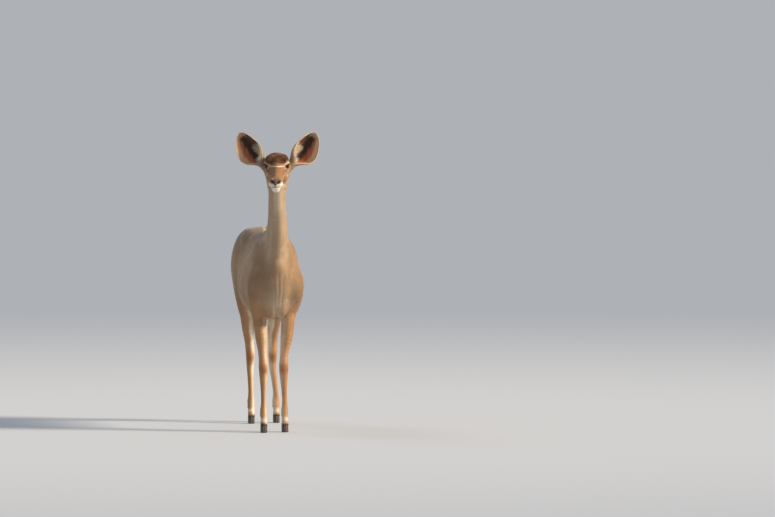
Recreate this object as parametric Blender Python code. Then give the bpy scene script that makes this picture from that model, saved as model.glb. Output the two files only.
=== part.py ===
"""A standing greater kudu cow, life size, in metres: she faces -Y, her left side is +X, and the floor is at Z = 0.

Her body is one smooth blend of solid forms: balls for muscle and bone, tubes for neck and legs, and a ribbed trunk.
The blend is sampled on a grid and meshed, then parted with thin cuts into head, neck, torso, legs and tail.
Ears, eyes, hooves and the locks of the mane, crown and tail are modelled on their own and set on the body.
"""

import math

import bmesh
import bpy
import numpy as np
from mathutils import Matrix, Vector

# Driving dimensions
WITHERS = 1.232
CROUP = 1.210
CHEST_FLOOR = 0.675
EYE_RADIUS = 0.0195
KNEE_HEIGHT = 0.375
HOCK_HEIGHT = 0.41
FETLOCK_HEIGHT = 0.125
CORONET_HEIGHT = 0.0475
GAP = 0.0003

# Where each foot stands on the floor, and where its knee or hock is
FRONT_FEET = {"left": (0.055, -0.468), "right": (-0.076, -0.512)}
KNEES = {"left": (0.049, -0.448), "right": (-0.075, -0.472)}
HIND_FEET = {"left": (0.090, 0.530), "right": (-0.070, 0.455)}
HOCKS = {"left": (0.073, 0.607), "right": (-0.067, 0.572)}
SIDES = {"left": 1.0, "right": -1.0}

# The head looks a little to her right and down
HEAD_ORIGIN = Vector((-0.019, -0.765, 1.592))
HEAD_YAW = math.radians(-7.5)
HEAD_PITCH = math.radians(24.0)

# Each ear: its root from between the eyes, its lean, and how far its cup opens to the side
EAR_ROOT = (0.072, 0.048, 0.004)
EAR_LEAN = (0.150, 0.030, 0.204)
EAR_LENGTH = 0.255
EAR_OUTWARD = 0.12
EAR_CUT = 0.008
EAR_WALL = 0.0032

# How many locks of hair, and about how long they are
NAPE_LOCKS = 26
BACK_LOCKS = 16
CROWN_LOCKS = 24
TAIL_LOCKS = 22
NAPE_LENGTH = 0.042
CROWN_LENGTH = 0.028
TAIL_LENGTH = 0.105

FAR = 1.0
REACH = 0.06
BLOCK = 4


def clear_scene():
    for item in list(bpy.data.objects):
        bpy.data.objects.remove(item)


def head_matrix():
    turn = Matrix.Rotation(HEAD_YAW, 4, "Z") @ Matrix.Rotation(HEAD_PITCH, 4, "X")
    return Matrix.Translation(HEAD_ORIGIN) @ turn


def smooth_curve(rows, at):
    """Values at the positions `at` on a smooth curve through rows of (position, value, value, ...)."""
    rows = np.array(rows, float)
    x, y = rows[:, 0], rows[:, 1:]
    slope = np.gradient(y, x, axis=0)
    at = np.clip(at, x[0], x[-1])
    i = np.clip(np.searchsorted(x, at) - 1, 0, len(x) - 2)
    span = (x[i + 1] - x[i])[:, None]
    t = (at - x[i])[:, None] / span
    a, b = y[i], y[i + 1]
    rise = slope[i] * span * (t**3 - 2 * t**2 + t) + slope[i + 1] * span * (t**3 - t**2)
    return a * (2 * t**3 - 3 * t**2 + 1) + b * (3 * t**2 - 2 * t**3) + rise


class Form:
    """One solid form: its distance at points, negative inside, and the box that holds it."""

    def __init__(self, low, high, distance):
        self.low = np.array(low, float)
        self.high = np.array(high, float)
        self.distance = distance


def placed(form, matrix):
    """The form moved and turned by a matrix without scale."""
    back = np.array(matrix.inverted(), float)
    corners = [
        matrix @ Vector((x, y, z))
        for x in (form.low[0], form.high[0])
        for y in (form.low[1], form.high[1])
        for z in (form.low[2], form.high[2])
    ]
    low, high = np.min(corners, axis=0), np.max(corners, axis=0)
    return Form(low, high, lambda p: form.distance(p @ back[:3, :3].T + back[:3, 3]))


def ball(centre, radii, pitch=0.0, yaw=0.0, roll=0.0):
    """An ellipsoid, turned in degrees about X, Z and Y."""
    radii = np.array(radii, float)

    def distance(p):
        scaled = np.linalg.norm(p / radii, axis=1)
        steep = np.linalg.norm(p / radii**2, axis=1)
        return scaled * (scaled - 1) / np.maximum(steep, 1e-6)

    turn = Matrix.Rotation(math.radians(yaw), 4, "Z") @ Matrix.Rotation(math.radians(pitch), 4, "X")
    turn = turn @ Matrix.Rotation(math.radians(roll), 4, "Y")
    return placed(Form(-radii, radii, distance), Matrix.Translation(centre) @ turn)


def tube(stations, fine=4):
    """A bending tube through stations of (x, y, z, half width, half depth), oval across."""
    rows = np.array(stations, float)
    along = np.concatenate([[0], np.cumsum(np.linalg.norm(np.diff(rows[:, :3], axis=0), axis=1))])
    at = np.linspace(0, along[-1], (len(rows) - 1) * fine + 1)
    rows = smooth_curve(np.column_stack([along, rows]), at)

    def distance(p):
        nearest = np.full(len(p), FAR)
        for a, b in zip(rows[:-1], rows[1:]):
            step = b[:3] - a[:3]
            t = np.clip((p - a[:3]) @ step / (step @ step), 0, 1)
            off = p - a[:3] - t[:, None] * step
            wide, deep = (a[3] + t * (b[3] - a[3])), (a[4] + t * (b[4] - a[4]))
            length = np.linalg.norm(off, axis=1)
            across = off[:, 0] ** 2
            scaled = np.sqrt(across / wide**2 + np.maximum(length**2 - across, 0) / deep**2)
            size = np.where(scaled > 1e-4, length / np.maximum(scaled, 1e-4), np.minimum(wide, deep))
            nearest = np.minimum(nearest, length - size)
        return nearest

    widest = rows[:, 3:].max()
    return Form(rows[:, :3].min(0) - widest, rows[:, :3].max(0) + widest, distance)


def ribbed(stations, round_end, top_taper, low_taper, low_power=2.0):
    """A form along Y through stations of (y, top, bottom, half width, share of the height below the widest line)."""
    rows = np.array(stations, float)
    first, last = rows[0, 0], rows[-1, 0]

    def distance(p):
        top, bottom, wide, waist = smooth_curve(rows, p[:, 1]).T
        middle = bottom + waist * (top - bottom)
        rise = p[:, 2] - middle
        high = np.where(rise > 0, top - middle, middle - bottom)
        share = np.clip(np.abs(rise) / high, 0, 1)
        narrow = 1 - np.where(rise > 0, top_taper, low_taper) * share
        past = np.maximum(first - p[:, 1], 0) + np.maximum(p[:, 1] - last, 0)
        power = np.where(rise > 0, 2.0, low_power)
        across = np.abs(p[:, 0]) / (wide * narrow)
        section = (across**power + (np.abs(rise) / high) ** power) ** (1 / power)
        scaled = np.sqrt(section**2 + (past / round_end) ** 2)
        length = np.sqrt(p[:, 0] ** 2 + rise**2 + past**2)
        return np.where(scaled > 1e-3, length - length / np.maximum(scaled, 1e-3), -0.5 * wide)

    wide = rows[:, 3].max()
    low = (-wide, first - round_end, rows[:, 2].min())
    high = (wide, last + round_end, rows[:, 1].max())
    return Form(low, high, distance)


# The body's forms: each entry is (form, blend radius), and a blend below zero carves


def trunk():
    stations = [
        (-0.575, 1.050, 0.800, 0.075, 0.50),
        (-0.520, 1.120, 0.725, 0.112, 0.48),
        (-0.420, 1.190, 0.680, 0.135, 0.46),
        (-0.300, WITHERS, CHEST_FLOOR, 0.150, 0.44),
        (-0.160, 1.196, 0.672, 0.173, 0.43),
        (0.000, 1.165, 0.674, 0.188, 0.43),
        (0.140, 1.168, 0.690, 0.187, 0.44),
        (0.280, 1.190, 0.740, 0.168, 0.48),
        (0.400, CROUP, 0.815, 0.150, 0.50),
        (0.510, 1.190, 0.870, 0.128, 0.50),
        (0.600, 1.125, 0.910, 0.085, 0.50),
    ]
    return [(ribbed(stations, 0.05, 0.24, 0.04, 2.6), 0.02)]


def shoulders():
    forms = []
    for s in SIDES.values():
        forms += [
            (ball((0.086 * s, -0.385, 0.990), (0.056, 0.088, 0.168), pitch=-24), 0.05),
            (ball((0.096 * s, -0.500, 0.880), (0.058, 0.066, 0.085), pitch=-10), 0.05),
            (ball((0.112 * s, -0.405, 0.848), (0.056, 0.088, 0.125), pitch=24), 0.065),
            (ball((0.098 * s, -0.350, 0.745), (0.032, 0.036, 0.045)), 0.04),
        ]
    return forms


def breast():
    """The two breast muscles and the keel between the forelegs."""
    forms = [(ball((0.0, -0.515, 0.865), (0.078, 0.085, 0.150)), 0.05)]
    for s in SIDES.values():
        lobe = ball((0.034 * s, -0.512, 0.765), (0.034, 0.056, 0.086), pitch=16, roll=6 * s)
        forms.append((lobe, 0.022))
    return forms


NECK_LINE = [
    (0.000, -0.300, 1.020, 0.085, 0.165),
    (0.003, -0.400, 1.085, 0.081, 0.152),
    (0.005, -0.475, 1.175, 0.069, 0.118),
    (0.003, -0.537, 1.275, 0.060, 0.089),
    (-0.003, -0.588, 1.385, 0.0555, 0.072),
    (-0.004, -0.620, 1.460, 0.0580, 0.067),
    (-0.005, -0.640, 1.510, 0.0690, 0.064),
    (-0.015, -0.668, 1.580, 0.0560, 0.058),
]


def neck():
    windpipe = [
        (0.000, -0.535, 0.930, 0.055, 0.056),
        (0.001, -0.553, 1.030, 0.050, 0.050),
        (0.003, -0.592, 1.180, 0.042, 0.040),
        (-0.003, -0.642, 1.340, 0.035, 0.031),
        (-0.011, -0.690, 1.475, 0.034, 0.028),
    ]
    return [(tube(NECK_LINE), 0.045), (tube(windpipe, 3), 0.035)]


def haunches():
    forms = []
    for s in SIDES.values():
        forms += [
            (ball((0.078 * s, 0.400, 1.118), (0.076, 0.130, 0.084), pitch=-6), 0.05),
            (ball((0.107 * s, 0.460, 0.970), (0.089, 0.145, 0.190), pitch=-12), 0.05),
            (ball((0.066 * s, 0.560, 0.985), (0.058, 0.078, 0.150), pitch=10), 0.05),
            (ball((0.112 * s, 0.385, 0.790), (0.050, 0.072, 0.090), pitch=-20), 0.06),
            (ball((0.088 * s, 0.548, 0.850), (0.048, 0.066, 0.110), pitch=-8), 0.05),
        ]
    return forms


def foreleg(side):
    s = SIDES[side]
    x, y = FRONT_FEET[side]
    knee_x, knee_y = KNEES[side]
    ankle_y = y + 0.022
    bone = [
        (0.102 * s - 0.003, -0.400, 0.800, 0.049, 0.065),
        (0.088 * s - 0.006, -0.400, 0.700, 0.0455, 0.056),
        (0.078 * s - 0.008, 0.5 * (-0.405 + knee_y), 0.580, 0.0390, 0.0430),
        (knee_x + 0.003 * s, knee_y + 0.012, 0.450, 0.0265, 0.0295),
        (knee_x, knee_y - 0.004, KNEE_HEIGHT + 0.010, 0.0305, 0.0325),
        (knee_x, knee_y - 0.002, KNEE_HEIGHT - 0.035, 0.0265, 0.0275),
        (0.5 * (knee_x + x), 0.5 * (knee_y + ankle_y), 0.250, 0.0188, 0.0190),
        (x, ankle_y, FETLOCK_HEIGHT + 0.035, 0.0188, 0.0200),
        (x, ankle_y, FETLOCK_HEIGHT, 0.0232, 0.0240),
        (x, y + 0.008, 0.085, 0.0202, 0.0205),
        (x, y - 0.002, 0.050, 0.0225, 0.0250),
        (x, y - 0.008, 0.020, 0.0225, 0.0270),
    ]
    tendon = [
        (knee_x, knee_y + 0.020, KNEE_HEIGHT + 0.005, 0.010, 0.013),
        (0.5 * (knee_x + x), 0.5 * (knee_y + ankle_y) + 0.020, 0.250, 0.0090, 0.0105),
        (x, ankle_y + 0.016, FETLOCK_HEIGHT + 0.012, 0.0130, 0.0125),
    ]
    heel = ball((x, y + 0.020, 0.048), (0.0200, 0.0160, 0.0190))
    return [(tube(bone, 3), 0.035), (tube(tendon), 0.012), (heel, 0.012)]


def hindleg(side):
    s = SIDES[side]
    x, y = HIND_FEET[side]
    hock_x, hock_y = HOCKS[side]
    ankle_y = y + 0.036
    thigh = [
        (0.096 * s, 0.470, 0.960, 0.070, 0.150),
        (0.104 * s - 0.002, 0.450, 0.850, 0.0615, 0.125),
        (0.102 * s - 0.005, 0.460, 0.760, 0.0555, 0.096),
        (0.6 * 0.100 * s + 0.4 * hock_x - 0.007, 0.488, 0.680, 0.0475, 0.070),
        (0.3 * 0.100 * s + 0.7 * hock_x - 0.007, 0.5 * (0.500 + hock_y), 0.585, 0.0385, 0.0500),
        (0.1 * 0.100 * s + 0.9 * hock_x - 0.003, hock_y - 0.014, 0.490, 0.0295, 0.0360),
        (hock_x, hock_y - 0.006, HOCK_HEIGHT, 0.0285, 0.0330),
        (hock_x, hock_y - 0.002, HOCK_HEIGHT - 0.055, 0.0245, 0.0265),
        (0.5 * (hock_x + x), 0.5 * (hock_y + ankle_y) - 0.002, 0.260, 0.0188, 0.0195),
        (x, ankle_y, FETLOCK_HEIGHT + 0.038, 0.0188, 0.0200),
        (x, ankle_y, FETLOCK_HEIGHT, 0.0232, 0.0240),
        (x, y + 0.012, 0.085, 0.0202, 0.0205),
        (x, y, 0.050, 0.0225, 0.0250),
        (x, y - 0.006, 0.020, 0.0225, 0.0270),
    ]
    heel_cord = [
        (0.098 * s, 0.525, 0.720, 0.026, 0.036),
        (0.4 * 0.090 * s + 0.6 * hock_x, hock_y - 0.006, 0.600, 0.0145, 0.0230),
        (hock_x, hock_y + 0.032, 0.500, 0.0115, 0.0150),
        (hock_x, hock_y + 0.041, 0.452, 0.0155, 0.0155),
        (hock_x, hock_y + 0.024, HOCK_HEIGHT - 0.035, 0.0130, 0.0135),
        (0.5 * (hock_x + x), 0.5 * (hock_y + ankle_y) + 0.019, 0.250, 0.0090, 0.0105),
        (x, ankle_y + 0.017, FETLOCK_HEIGHT + 0.012, 0.0130, 0.0125),
    ]
    heel = ball((x, y + 0.022, 0.048), (0.0200, 0.0160, 0.0190))
    return [(tube(thigh, 3), 0.045), (tube(heel_cord, 3), 0.022), (heel, 0.012)]


TAIL_LINE = [
    (0.0, 0.585, 1.125, 0.028, 0.034),
    (0.0, 0.638, 1.108, 0.021, 0.023),
    (0.0, 0.676, 1.060, 0.0165, 0.0155),
    (0.0, 0.692, 0.970, 0.0135, 0.0125),
    (0.0, 0.692, 0.870, 0.0100, 0.0090),
]


def body_forms():
    forms = trunk() + shoulders() + breast() + haunches()
    for side in SIDES:
        forms += foreleg(side) + hindleg(side)
    return forms + neck() + [(tube(TAIL_LINE), 0.02)]


# The head, in its own frame: its nose points to -Y, and its origin lies between the eyes

EYE = Vector((0.0555, -0.004, 0.0170))
EYE_LOOK = Vector((0.80, -0.59, 0.09)).normalized()
SLIT_HALF_LENGTH = 0.0175
SLIT_HALF_HEIGHT = 0.0105
SLIT_SLOPE = 16.0
MOUTH_CORNER = -0.120
MOUTH_HEIGHT = -0.0250


def skull():
    stations = [
        (-0.202, 0.013, -0.054, 0.0300, 0.52),
        (-0.186, 0.022, -0.067, 0.0365, 0.52),
        (-0.155, 0.030, -0.075, 0.0380, 0.53),
        (-0.118, 0.037, -0.080, 0.0385, 0.55),
        (-0.080, 0.044, -0.086, 0.0445, 0.58),
        (-0.042, 0.053, -0.096, 0.0520, 0.62),
        (-0.010, 0.060, -0.106, 0.0600, 0.64),
        (0.020, 0.063, -0.113, 0.0610, 0.62),
        (0.052, 0.056, -0.108, 0.0560, 0.58),
        (0.085, 0.036, -0.075, 0.0460, 0.55),
    ]
    crown = ball((0.0, 0.030, 0.045), (0.068, 0.056, 0.032))
    return [(ribbed(stations, 0.020, 0.26, 0.30), 0.02), (crown, 0.02)]


def face():
    forms = []
    for s in SIDES.values():
        cheekbone = [
            (0.056 * s, 0.045, 0.002, 0.012, 0.014),
            (0.060 * s, 0.005, -0.009, 0.011, 0.013),
            (0.048 * s, -0.045, -0.009, 0.009, 0.012),
            (0.034 * s, -0.095, -0.006, 0.004, 0.006),
        ]
        forms += [
            (ball((0.049 * s, 0.006, 0.025), (0.027, 0.038, 0.025)), 0.028),
            (tube(cheekbone, 3), 0.018),
            (ball((0.045 * s, 0.022, -0.056), (0.026, 0.048, 0.054)), 0.028),
            (ball((0.0195 * s, -0.192, 0.005), (0.0165, 0.024, 0.0185), yaw=12 * s), 0.010),
            (ball((0.0215 * s, -0.190, -0.0140), (0.0215, 0.026, 0.0150), yaw=14 * s), 0.010),
        ]
    low_lip = ball((0.0, -0.182, -0.0400), (0.0250, 0.0290, 0.0150), pitch=-6)
    chin = ball((0.0, -0.166, -0.0600), (0.0235, 0.0340, 0.0195), pitch=-10)
    nose_pad = ball((0.0, -0.199, 0.001), (0.017, 0.020, 0.022))
    return forms + [(low_lip, 0.008), (chin, 0.012), (nose_pad, 0.008)]


def eye_lids():
    """The swelling of the lids, then the almond slit cut through them."""
    forms = []
    for s in SIDES.values():
        centre = Vector((EYE.x * s, EYE.y, EYE.z))
        look = Vector((EYE_LOOK.x * s, EYE_LOOK.y, EYE_LOOK.z))
        yaw = math.degrees(math.atan2(look.x, -look.y))
        slit = ball((0, 0, 0), (SLIT_HALF_LENGTH, 0.016, SLIT_HALF_HEIGHT), roll=SLIT_SLOPE * s)
        turn = Matrix.Translation(centre + look * EYE_RADIUS) @ Matrix.Rotation(math.radians(yaw), 4, "Z")
        forms += [
            (ball(centre, (EYE_RADIUS + 0.0034,) * 3), 0.008),
            (placed(slit, turn), -0.003),
        ]
    return forms


def nostrils():
    """A slanting slit on each side of the nose pad, deeper at its inner end."""
    forms = []
    for s in SIDES.values():
        slit = [
            (0.0110 * s, -0.218, 0.0010, 0.0042, 0.0046),
            (0.0175 * s, -0.213, 0.0105, 0.0048, 0.0050),
            (0.0280 * s, -0.204, 0.0140, 0.0034, 0.0036),
        ]
        forms.append((tube(slit, 3), -0.003))
    return forms


def ear_matrix(side):
    """The ear's frame: Z from root to tip, X to the outer edge, Y to the back of the ear."""
    s = SIDES[side]
    along = Vector((EAR_LEAN[0] * s, EAR_LEAN[1], EAR_LEAN[2])).normalized()
    back = Vector((-EAR_OUTWARD * s, 1.0, 0.0))
    back = (back - along * back.dot(along)).normalized()
    across = back.cross(along) * s
    columns = Matrix((across, back, along)).transposed().to_4x4()
    base = Matrix.Translation(HEAD_ORIGIN) @ Matrix.Rotation(HEAD_YAW, 4, "Z")
    return base @ Matrix.Translation((EAR_ROOT[0] * s, EAR_ROOT[1], EAR_ROOT[2])) @ columns


def ear_mounds():
    """The stub on the head that each ear stands on."""
    forms = []
    for side in SIDES:
        matrix = ear_matrix(side)
        low, high = matrix @ Vector((-0.002, 0, -0.036)), matrix @ Vector((0.000, 0, 0.014))
        forms.append((tube([(*low, 0.026, 0.028), (*high, 0.0215, 0.0215)], 2), 0.020))
    return forms


def mouth_line(points, value):
    """A crease along the lips, a little higher in the middle, fading out at the corners."""
    x, y, z = points.T
    line = MOUTH_HEIGHT + 0.05 * (y + 0.200) + 0.004 * np.cos(np.clip(x / 0.022, -1, 1) * math.pi / 2)
    depth = 0.0055 * np.clip((MOUTH_CORNER - y) / 0.012, 0, 1)
    return value + depth * np.exp(-(((z - line) / 0.0021) ** 2))


def blended(value, other, blend):
    """The two values joined with a soft seam, or the other carved away where blend is below zero."""
    if blend < 0:
        return -blended(-value, other, -blend)
    near = np.maximum(blend - np.abs(value - other), 0) / blend
    return np.minimum(value, other) - near * near * blend / 4


def field(points, forms):
    """The blend of all forms at the points, in metres, negative inside."""
    value = np.full(len(points), FAR)
    for form, blend in forms:
        pad = REACH + abs(blend)
        near = np.all((points > form.low - pad) & (points < form.high + pad), axis=1)
        if near.any():
            value[near] = blended(value[near], form.distance(points[near]), blend)
    return value


def head_forms():
    matrix = head_matrix()
    parts = skull() + face() + eye_lids() + nostrils()
    return [(placed(form, matrix), blend) for form, blend in parts] + ear_mounds()


def animal(points):
    """The whole animal's field, with the crease of the mouth."""
    value = field(points, ALL_FORMS)
    back = np.array(head_matrix().inverted(), float)
    local = points @ back[:3, :3].T + back[:3, 3]
    at_mouth = np.all(np.abs(local - (0, -0.19, -0.03)) < (0.06, 0.08, 0.05), axis=1)
    value[at_mouth] = mouth_line(local[at_mouth], value[at_mouth])
    return value


# Sampling and meshing the blend


def sampled(low, high, step):
    """The field on a grid of points, worked out only in blocks near the surface, and closed at the box's sides."""
    low, high = np.array(low, float), np.array(high, float)
    blocks = np.ceil((high - low) / (step * BLOCK)).astype(int)
    centres = np.stack(np.meshgrid(*[np.arange(n) + 0.5 for n in blocks], indexing="ij"), axis=-1)
    rough = animal((low + centres.reshape(-1, 3) * step * BLOCK)).reshape(blocks)
    near = np.abs(rough) < step * BLOCK * 1.8
    grid = np.where(rough < 0, -FAR, FAR)
    for axis in range(3):
        near, grid = np.repeat(near, BLOCK, axis), np.repeat(grid, BLOCK, axis)
    index = np.argwhere(near)
    grid[near] = animal(low + (index + 0.5) * step)
    for axis in range(3):
        ends = np.moveaxis(grid, axis, 0)
        ends[0] = ends[-1] = FAR
    return grid, low + 0.5 * step


def unpinched(grid):
    """The grid with no square of four points whose inside corners meet only across its diagonal."""
    for _ in range(20):
        inside = grid < 0
        pinched = 0
        for axis in range(3):
            flat, value = np.moveaxis(inside, axis, 0), np.moveaxis(grid, axis, 0)
            a, b, c, d = flat[:, :-1, :-1], flat[:, 1:, :-1], flat[:, :-1, 1:], flat[:, 1:, 1:]
            first, second = a & d & ~b & ~c, b & c & ~a & ~d
            value[:, 1:, :-1][first] = -1e-6
            value[:, :-1, :-1][second] = -1e-6
            pinched += first.sum() + second.sum()
        if not pinched:
            break
    return grid


def surface(grid, origin, step):
    """Points and four-sided faces of the grid's zero surface: one point in each cell that the surface crosses."""
    inside = unpinched(grid) < 0
    counts = np.zeros(np.array(grid.shape) - 1, np.int8)
    corners = [(i, j, k) for i in (0, 1) for j in (0, 1) for k in (0, 1)]
    nx, ny, nz = counts.shape
    for i, j, k in corners:
        counts += inside[i : i + nx, j : j + ny, k : k + nz]
    cells = np.argwhere((counts > 0) & (counts < 8))
    total, crossed = np.zeros((len(cells), 3)), np.zeros(len(cells))
    for a in corners:
        for axis in range(3):
            if a[axis]:
                continue
            b = list(a)
            b[axis] = 1
            va, vb = grid[tuple((cells + a).T)], grid[tuple((cells + b).T)]
            hit = (va < 0) != (vb < 0)
            t = va[hit] / (va[hit] - vb[hit])
            spot = np.tile(np.array(a, float), (hit.sum(), 1))
            spot[:, axis] = t
            total[hit] += spot
            crossed[hit] += 1
    points = origin + (cells + total / crossed[:, None]) * step
    number = np.full(counts.shape, -1, np.int64)
    number[tuple(cells.T)] = np.arange(len(cells))
    faces = []
    for axis in range(3):
        u, v = (axis + 1) % 3, (axis + 2) % 3
        first = np.moveaxis(inside, axis, 0)
        edge = np.argwhere(np.moveaxis(first[:-1] != first[1:], 0, axis))
        edge = edge[(edge[:, u] > 0) & (edge[:, v] > 0)]
        down_u, down_v = np.eye(3, dtype=int)[u], np.eye(3, dtype=int)[v]
        quad = [edge, edge - down_u, edge - down_u - down_v, edge - down_v]
        quad = np.column_stack([number[tuple(q.T)] for q in quad])
        turned = ~inside[tuple(edge.T)]
        quad[turned] = quad[turned][:, ::-1]
        faces.append(quad)
    return points, np.concatenate(faces)


def settled(points, rounds=2):
    """The points moved onto the true surface along its slope."""
    probe = 0.0005
    for _ in range(rounds):
        value = animal(points)
        slope = np.column_stack([animal(points + probe * axis) - value for axis in np.eye(3)]) / probe
        steep = np.maximum((slope**2).sum(1), 0.25)
        points = points - slope * np.clip(value / steep, -0.002, 0.002)[:, None]
    return points


def mesh_object(name, points, faces):
    mesh = bpy.data.meshes.new(name)
    mesh.from_pydata([tuple(p) for p in points], [], [tuple(int(i) for i in f) for f in faces])
    mesh.update()
    item = bpy.data.objects.new(name, mesh)
    PARTS.objects.link(item)
    return item


def baked(item):
    """The object's modifiers applied to its mesh."""
    bpy.context.view_layer.update()
    graph = bpy.context.evaluated_depsgraph_get()
    mesh = bpy.data.meshes.new_from_object(item.evaluated_get(graph))
    item.modifiers.clear()
    item.data = mesh
    return item


def largest_body(item):
    """Keeps only the largest closed surface of the mesh, in triangles."""
    work = bmesh.new()
    work.from_mesh(item.data)
    left = set(work.verts)
    bodies = []
    while left:
        stack, body = [left.pop()], set()
        while stack:
            vert = stack.pop()
            body.add(vert)
            for edge in vert.link_edges:
                other = edge.other_vert(vert)
                if other in left:
                    left.discard(other)
                    stack.append(other)
        bodies.append(body)
    bodies.sort(key=len)
    drop = [vert for body in bodies[:-1] for vert in body]
    bmesh.ops.delete(work, geom=drop, context="VERTS")
    bmesh.ops.triangulate(work, faces=work.faces[:], quad_method="BEAUTY", ngon_method="BEAUTY")
    work.to_mesh(item.data)
    work.free()
    return item


def flesh(name, low, high, step, triangles):
    """The animal's surface inside a box, as an object of about so many triangles."""
    grid, origin = sampled(low, high, step)
    points, faces = surface(grid, origin, step)
    open_side = np.all((points > np.array(low) + 2 * step) & (points < np.array(high) - 2 * step), axis=1)
    points[open_side] = settled(points[open_side])
    item = mesh_object(name, points, faces)
    thin = item.modifiers.new("thin", "DECIMATE")
    thin.ratio = min(1.0, triangles / (2 * len(faces)))
    return largest_body(baked(item))


# Cutting


def prism(name, outline, along, low, high, grow=0.0):
    """A cutter: a convex outline in the two other axes, run along one axis from low to high, and grown all round."""
    outline = [Vector(p) for p in outline]
    area = sum(a.cross(b) for a, b in zip(outline, outline[1:] + outline[:1]))
    if area < 0:
        outline.reverse()
    moved = []
    for i, point in enumerate(outline):
        before = (point - outline[i - 1]).normalized()
        after = (outline[(i + 1) % len(outline)] - point).normalized()
        out_before, out_after = Vector((before.y, -before.x)), Vector((after.y, -after.x))
        corner = out_before + out_after
        moved.append(point + corner * (grow / (1 + out_before.dot(out_after))))
    count = len(moved)
    first, second = (along + 1) % 3, (along + 2) % 3
    points = []
    for level in (low - grow, high + grow):
        for point in moved:
            spot = [0.0, 0.0, 0.0]
            spot[along], spot[first], spot[second] = level, point.x, point.y
            points.append(spot)
    faces = [tuple(range(count))[::-1], tuple(range(count, 2 * count))]
    for i in range(count):
        j = (i + 1) % count
        faces.append((i, j, j + count, i + count))
    item = mesh_object(name, points, faces)
    PARTS.objects.unlink(item)
    return as_cutter(item)


def as_cutter(item):
    CUTTERS.objects.link(item)
    item.hide_render = True
    item.display_type = "WIRE"
    return item


def cut(item, cutter, operation="DIFFERENCE"):
    """One Boolean, applied, and its cutter removed."""
    boolean = item.modifiers.new("cut", "BOOLEAN")
    boolean.operation = operation
    boolean.solver = "MANIFOLD"
    boolean.object = cutter
    baked(item)
    bpy.data.objects.remove(cutter)
    return largest_body(item)


# Where the body is parted: each cutter holds the outer piece


def head_cutter(grow=0.0):
    outline = [(-0.600, 1.690), (-0.735, 1.500), (-1.100, 1.330), (-1.100, 1.900), (-0.600, 1.900)]
    return prism("head_cutter", outline, 0, -0.30, 0.30, grow)


def neck_cutter(grow=0.0):
    outline = [(-0.270, 1.280), (-0.670, 0.985), (-1.150, 0.985), (-1.150, 1.850), (-0.270, 1.850)]
    return prism("neck_cutter", outline, 0, -0.30, 0.30, grow)


def tail_cutter(grow=0.0):
    outline = [(0.648, 1.200), (0.636, 0.700), (0.850, 0.700), (0.850, 1.200)]
    return prism("tail_cutter", outline, 0, -0.032, 0.032, grow)


def foreleg_cutter(side, grow=0.0):
    s = SIDES[side]
    outline = [(-0.100, 0.006 * s), (-0.100, 0.300 * s), (0.840, 0.300 * s), (0.640, 0.006 * s)]
    return prism("foreleg_cutter", outline, 1, -0.640, -0.250, grow)


def hindleg_cutter(side, grow=0.0):
    s = SIDES[side]
    outline = [(-0.100, 0.006 * s), (-0.100, 0.300 * s), (1.020, 0.300 * s), (0.690, 0.006 * s)]
    return prism("hindleg_cutter", outline, 1, 0.300, 0.800, grow)


def hoof_cutter(x, y, grow=0.0):
    """Everything below the slanting line where the claws begin."""
    toe, heel = y + CLAW[-1][0], y + CLAW[-1][1]
    rise = (CLAW[-1][4] - CLAW[-1][3]) / (heel - toe)
    ends = [(at, CLAW[-1][3] + rise * (at - toe)) for at in (y - 0.10, y + 0.075)]
    outline = [(ends[0][0], -0.10), ends[0], ends[1], (ends[1][0], -0.10)]
    return prism("hoof_cutter", outline, 0, x - 0.06, x + 0.06, grow)


def ear_cutter(side, grow=0.0):
    """The space beyond the flat end of the stub that the ear stands on."""
    square = [(-0.05, -0.05), (0.05, -0.05), (0.05, 0.05), (-0.05, 0.05)]
    item = prism("ear_cutter", square, 2, EAR_CUT, 0.08, grow)
    item.data.transform(ear_matrix(side))
    if ear_matrix(side).determinant() < 0:
        item.data.flip_normals()
    return item


# Ears, eyes, hooves and dewclaws


EAR_ROWS = [
    (0.00, 0.0205, 0.0000, 0.0205, 0.92),
    (0.10, 0.0230, 0.0020, 0.0235, 0.88),
    (0.20, 0.0360, 0.0080, 0.0330, 0.74),
    (0.31, 0.0590, 0.0175, 0.0430, 0.61),
    (0.44, 0.0720, 0.0225, 0.0470, 0.54),
    (0.57, 0.0715, 0.0220, 0.0450, 0.50),
    (0.70, 0.0620, 0.0200, 0.0390, 0.50),
    (0.82, 0.0490, 0.0160, 0.0290, 0.50),
    (0.91, 0.0345, 0.0120, 0.0180, 0.50),
    (0.97, 0.0200, 0.0080, 0.0100, 0.50),
    (1.00, 0.0050, 0.0045, 0.0025, 0.50),
]


def ear_sheet(rows, columns, start):
    """Points of the ear's back, from its root to its tip and from its inner to its outer edge, in the ear's frame."""
    share = np.linspace(start, 1.0, rows)
    half, middle, deep, curl = smooth_curve(EAR_ROWS, share).T[:, :, None]
    turn = np.linspace(-1.0, 1.0, columns)[None, :] * curl * math.pi
    height = np.broadcast_to(share[:, None] * EAR_LENGTH, turn.shape)
    return np.stack([middle + half * np.sin(turn), deep * np.cos(turn), height], axis=-1)


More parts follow.
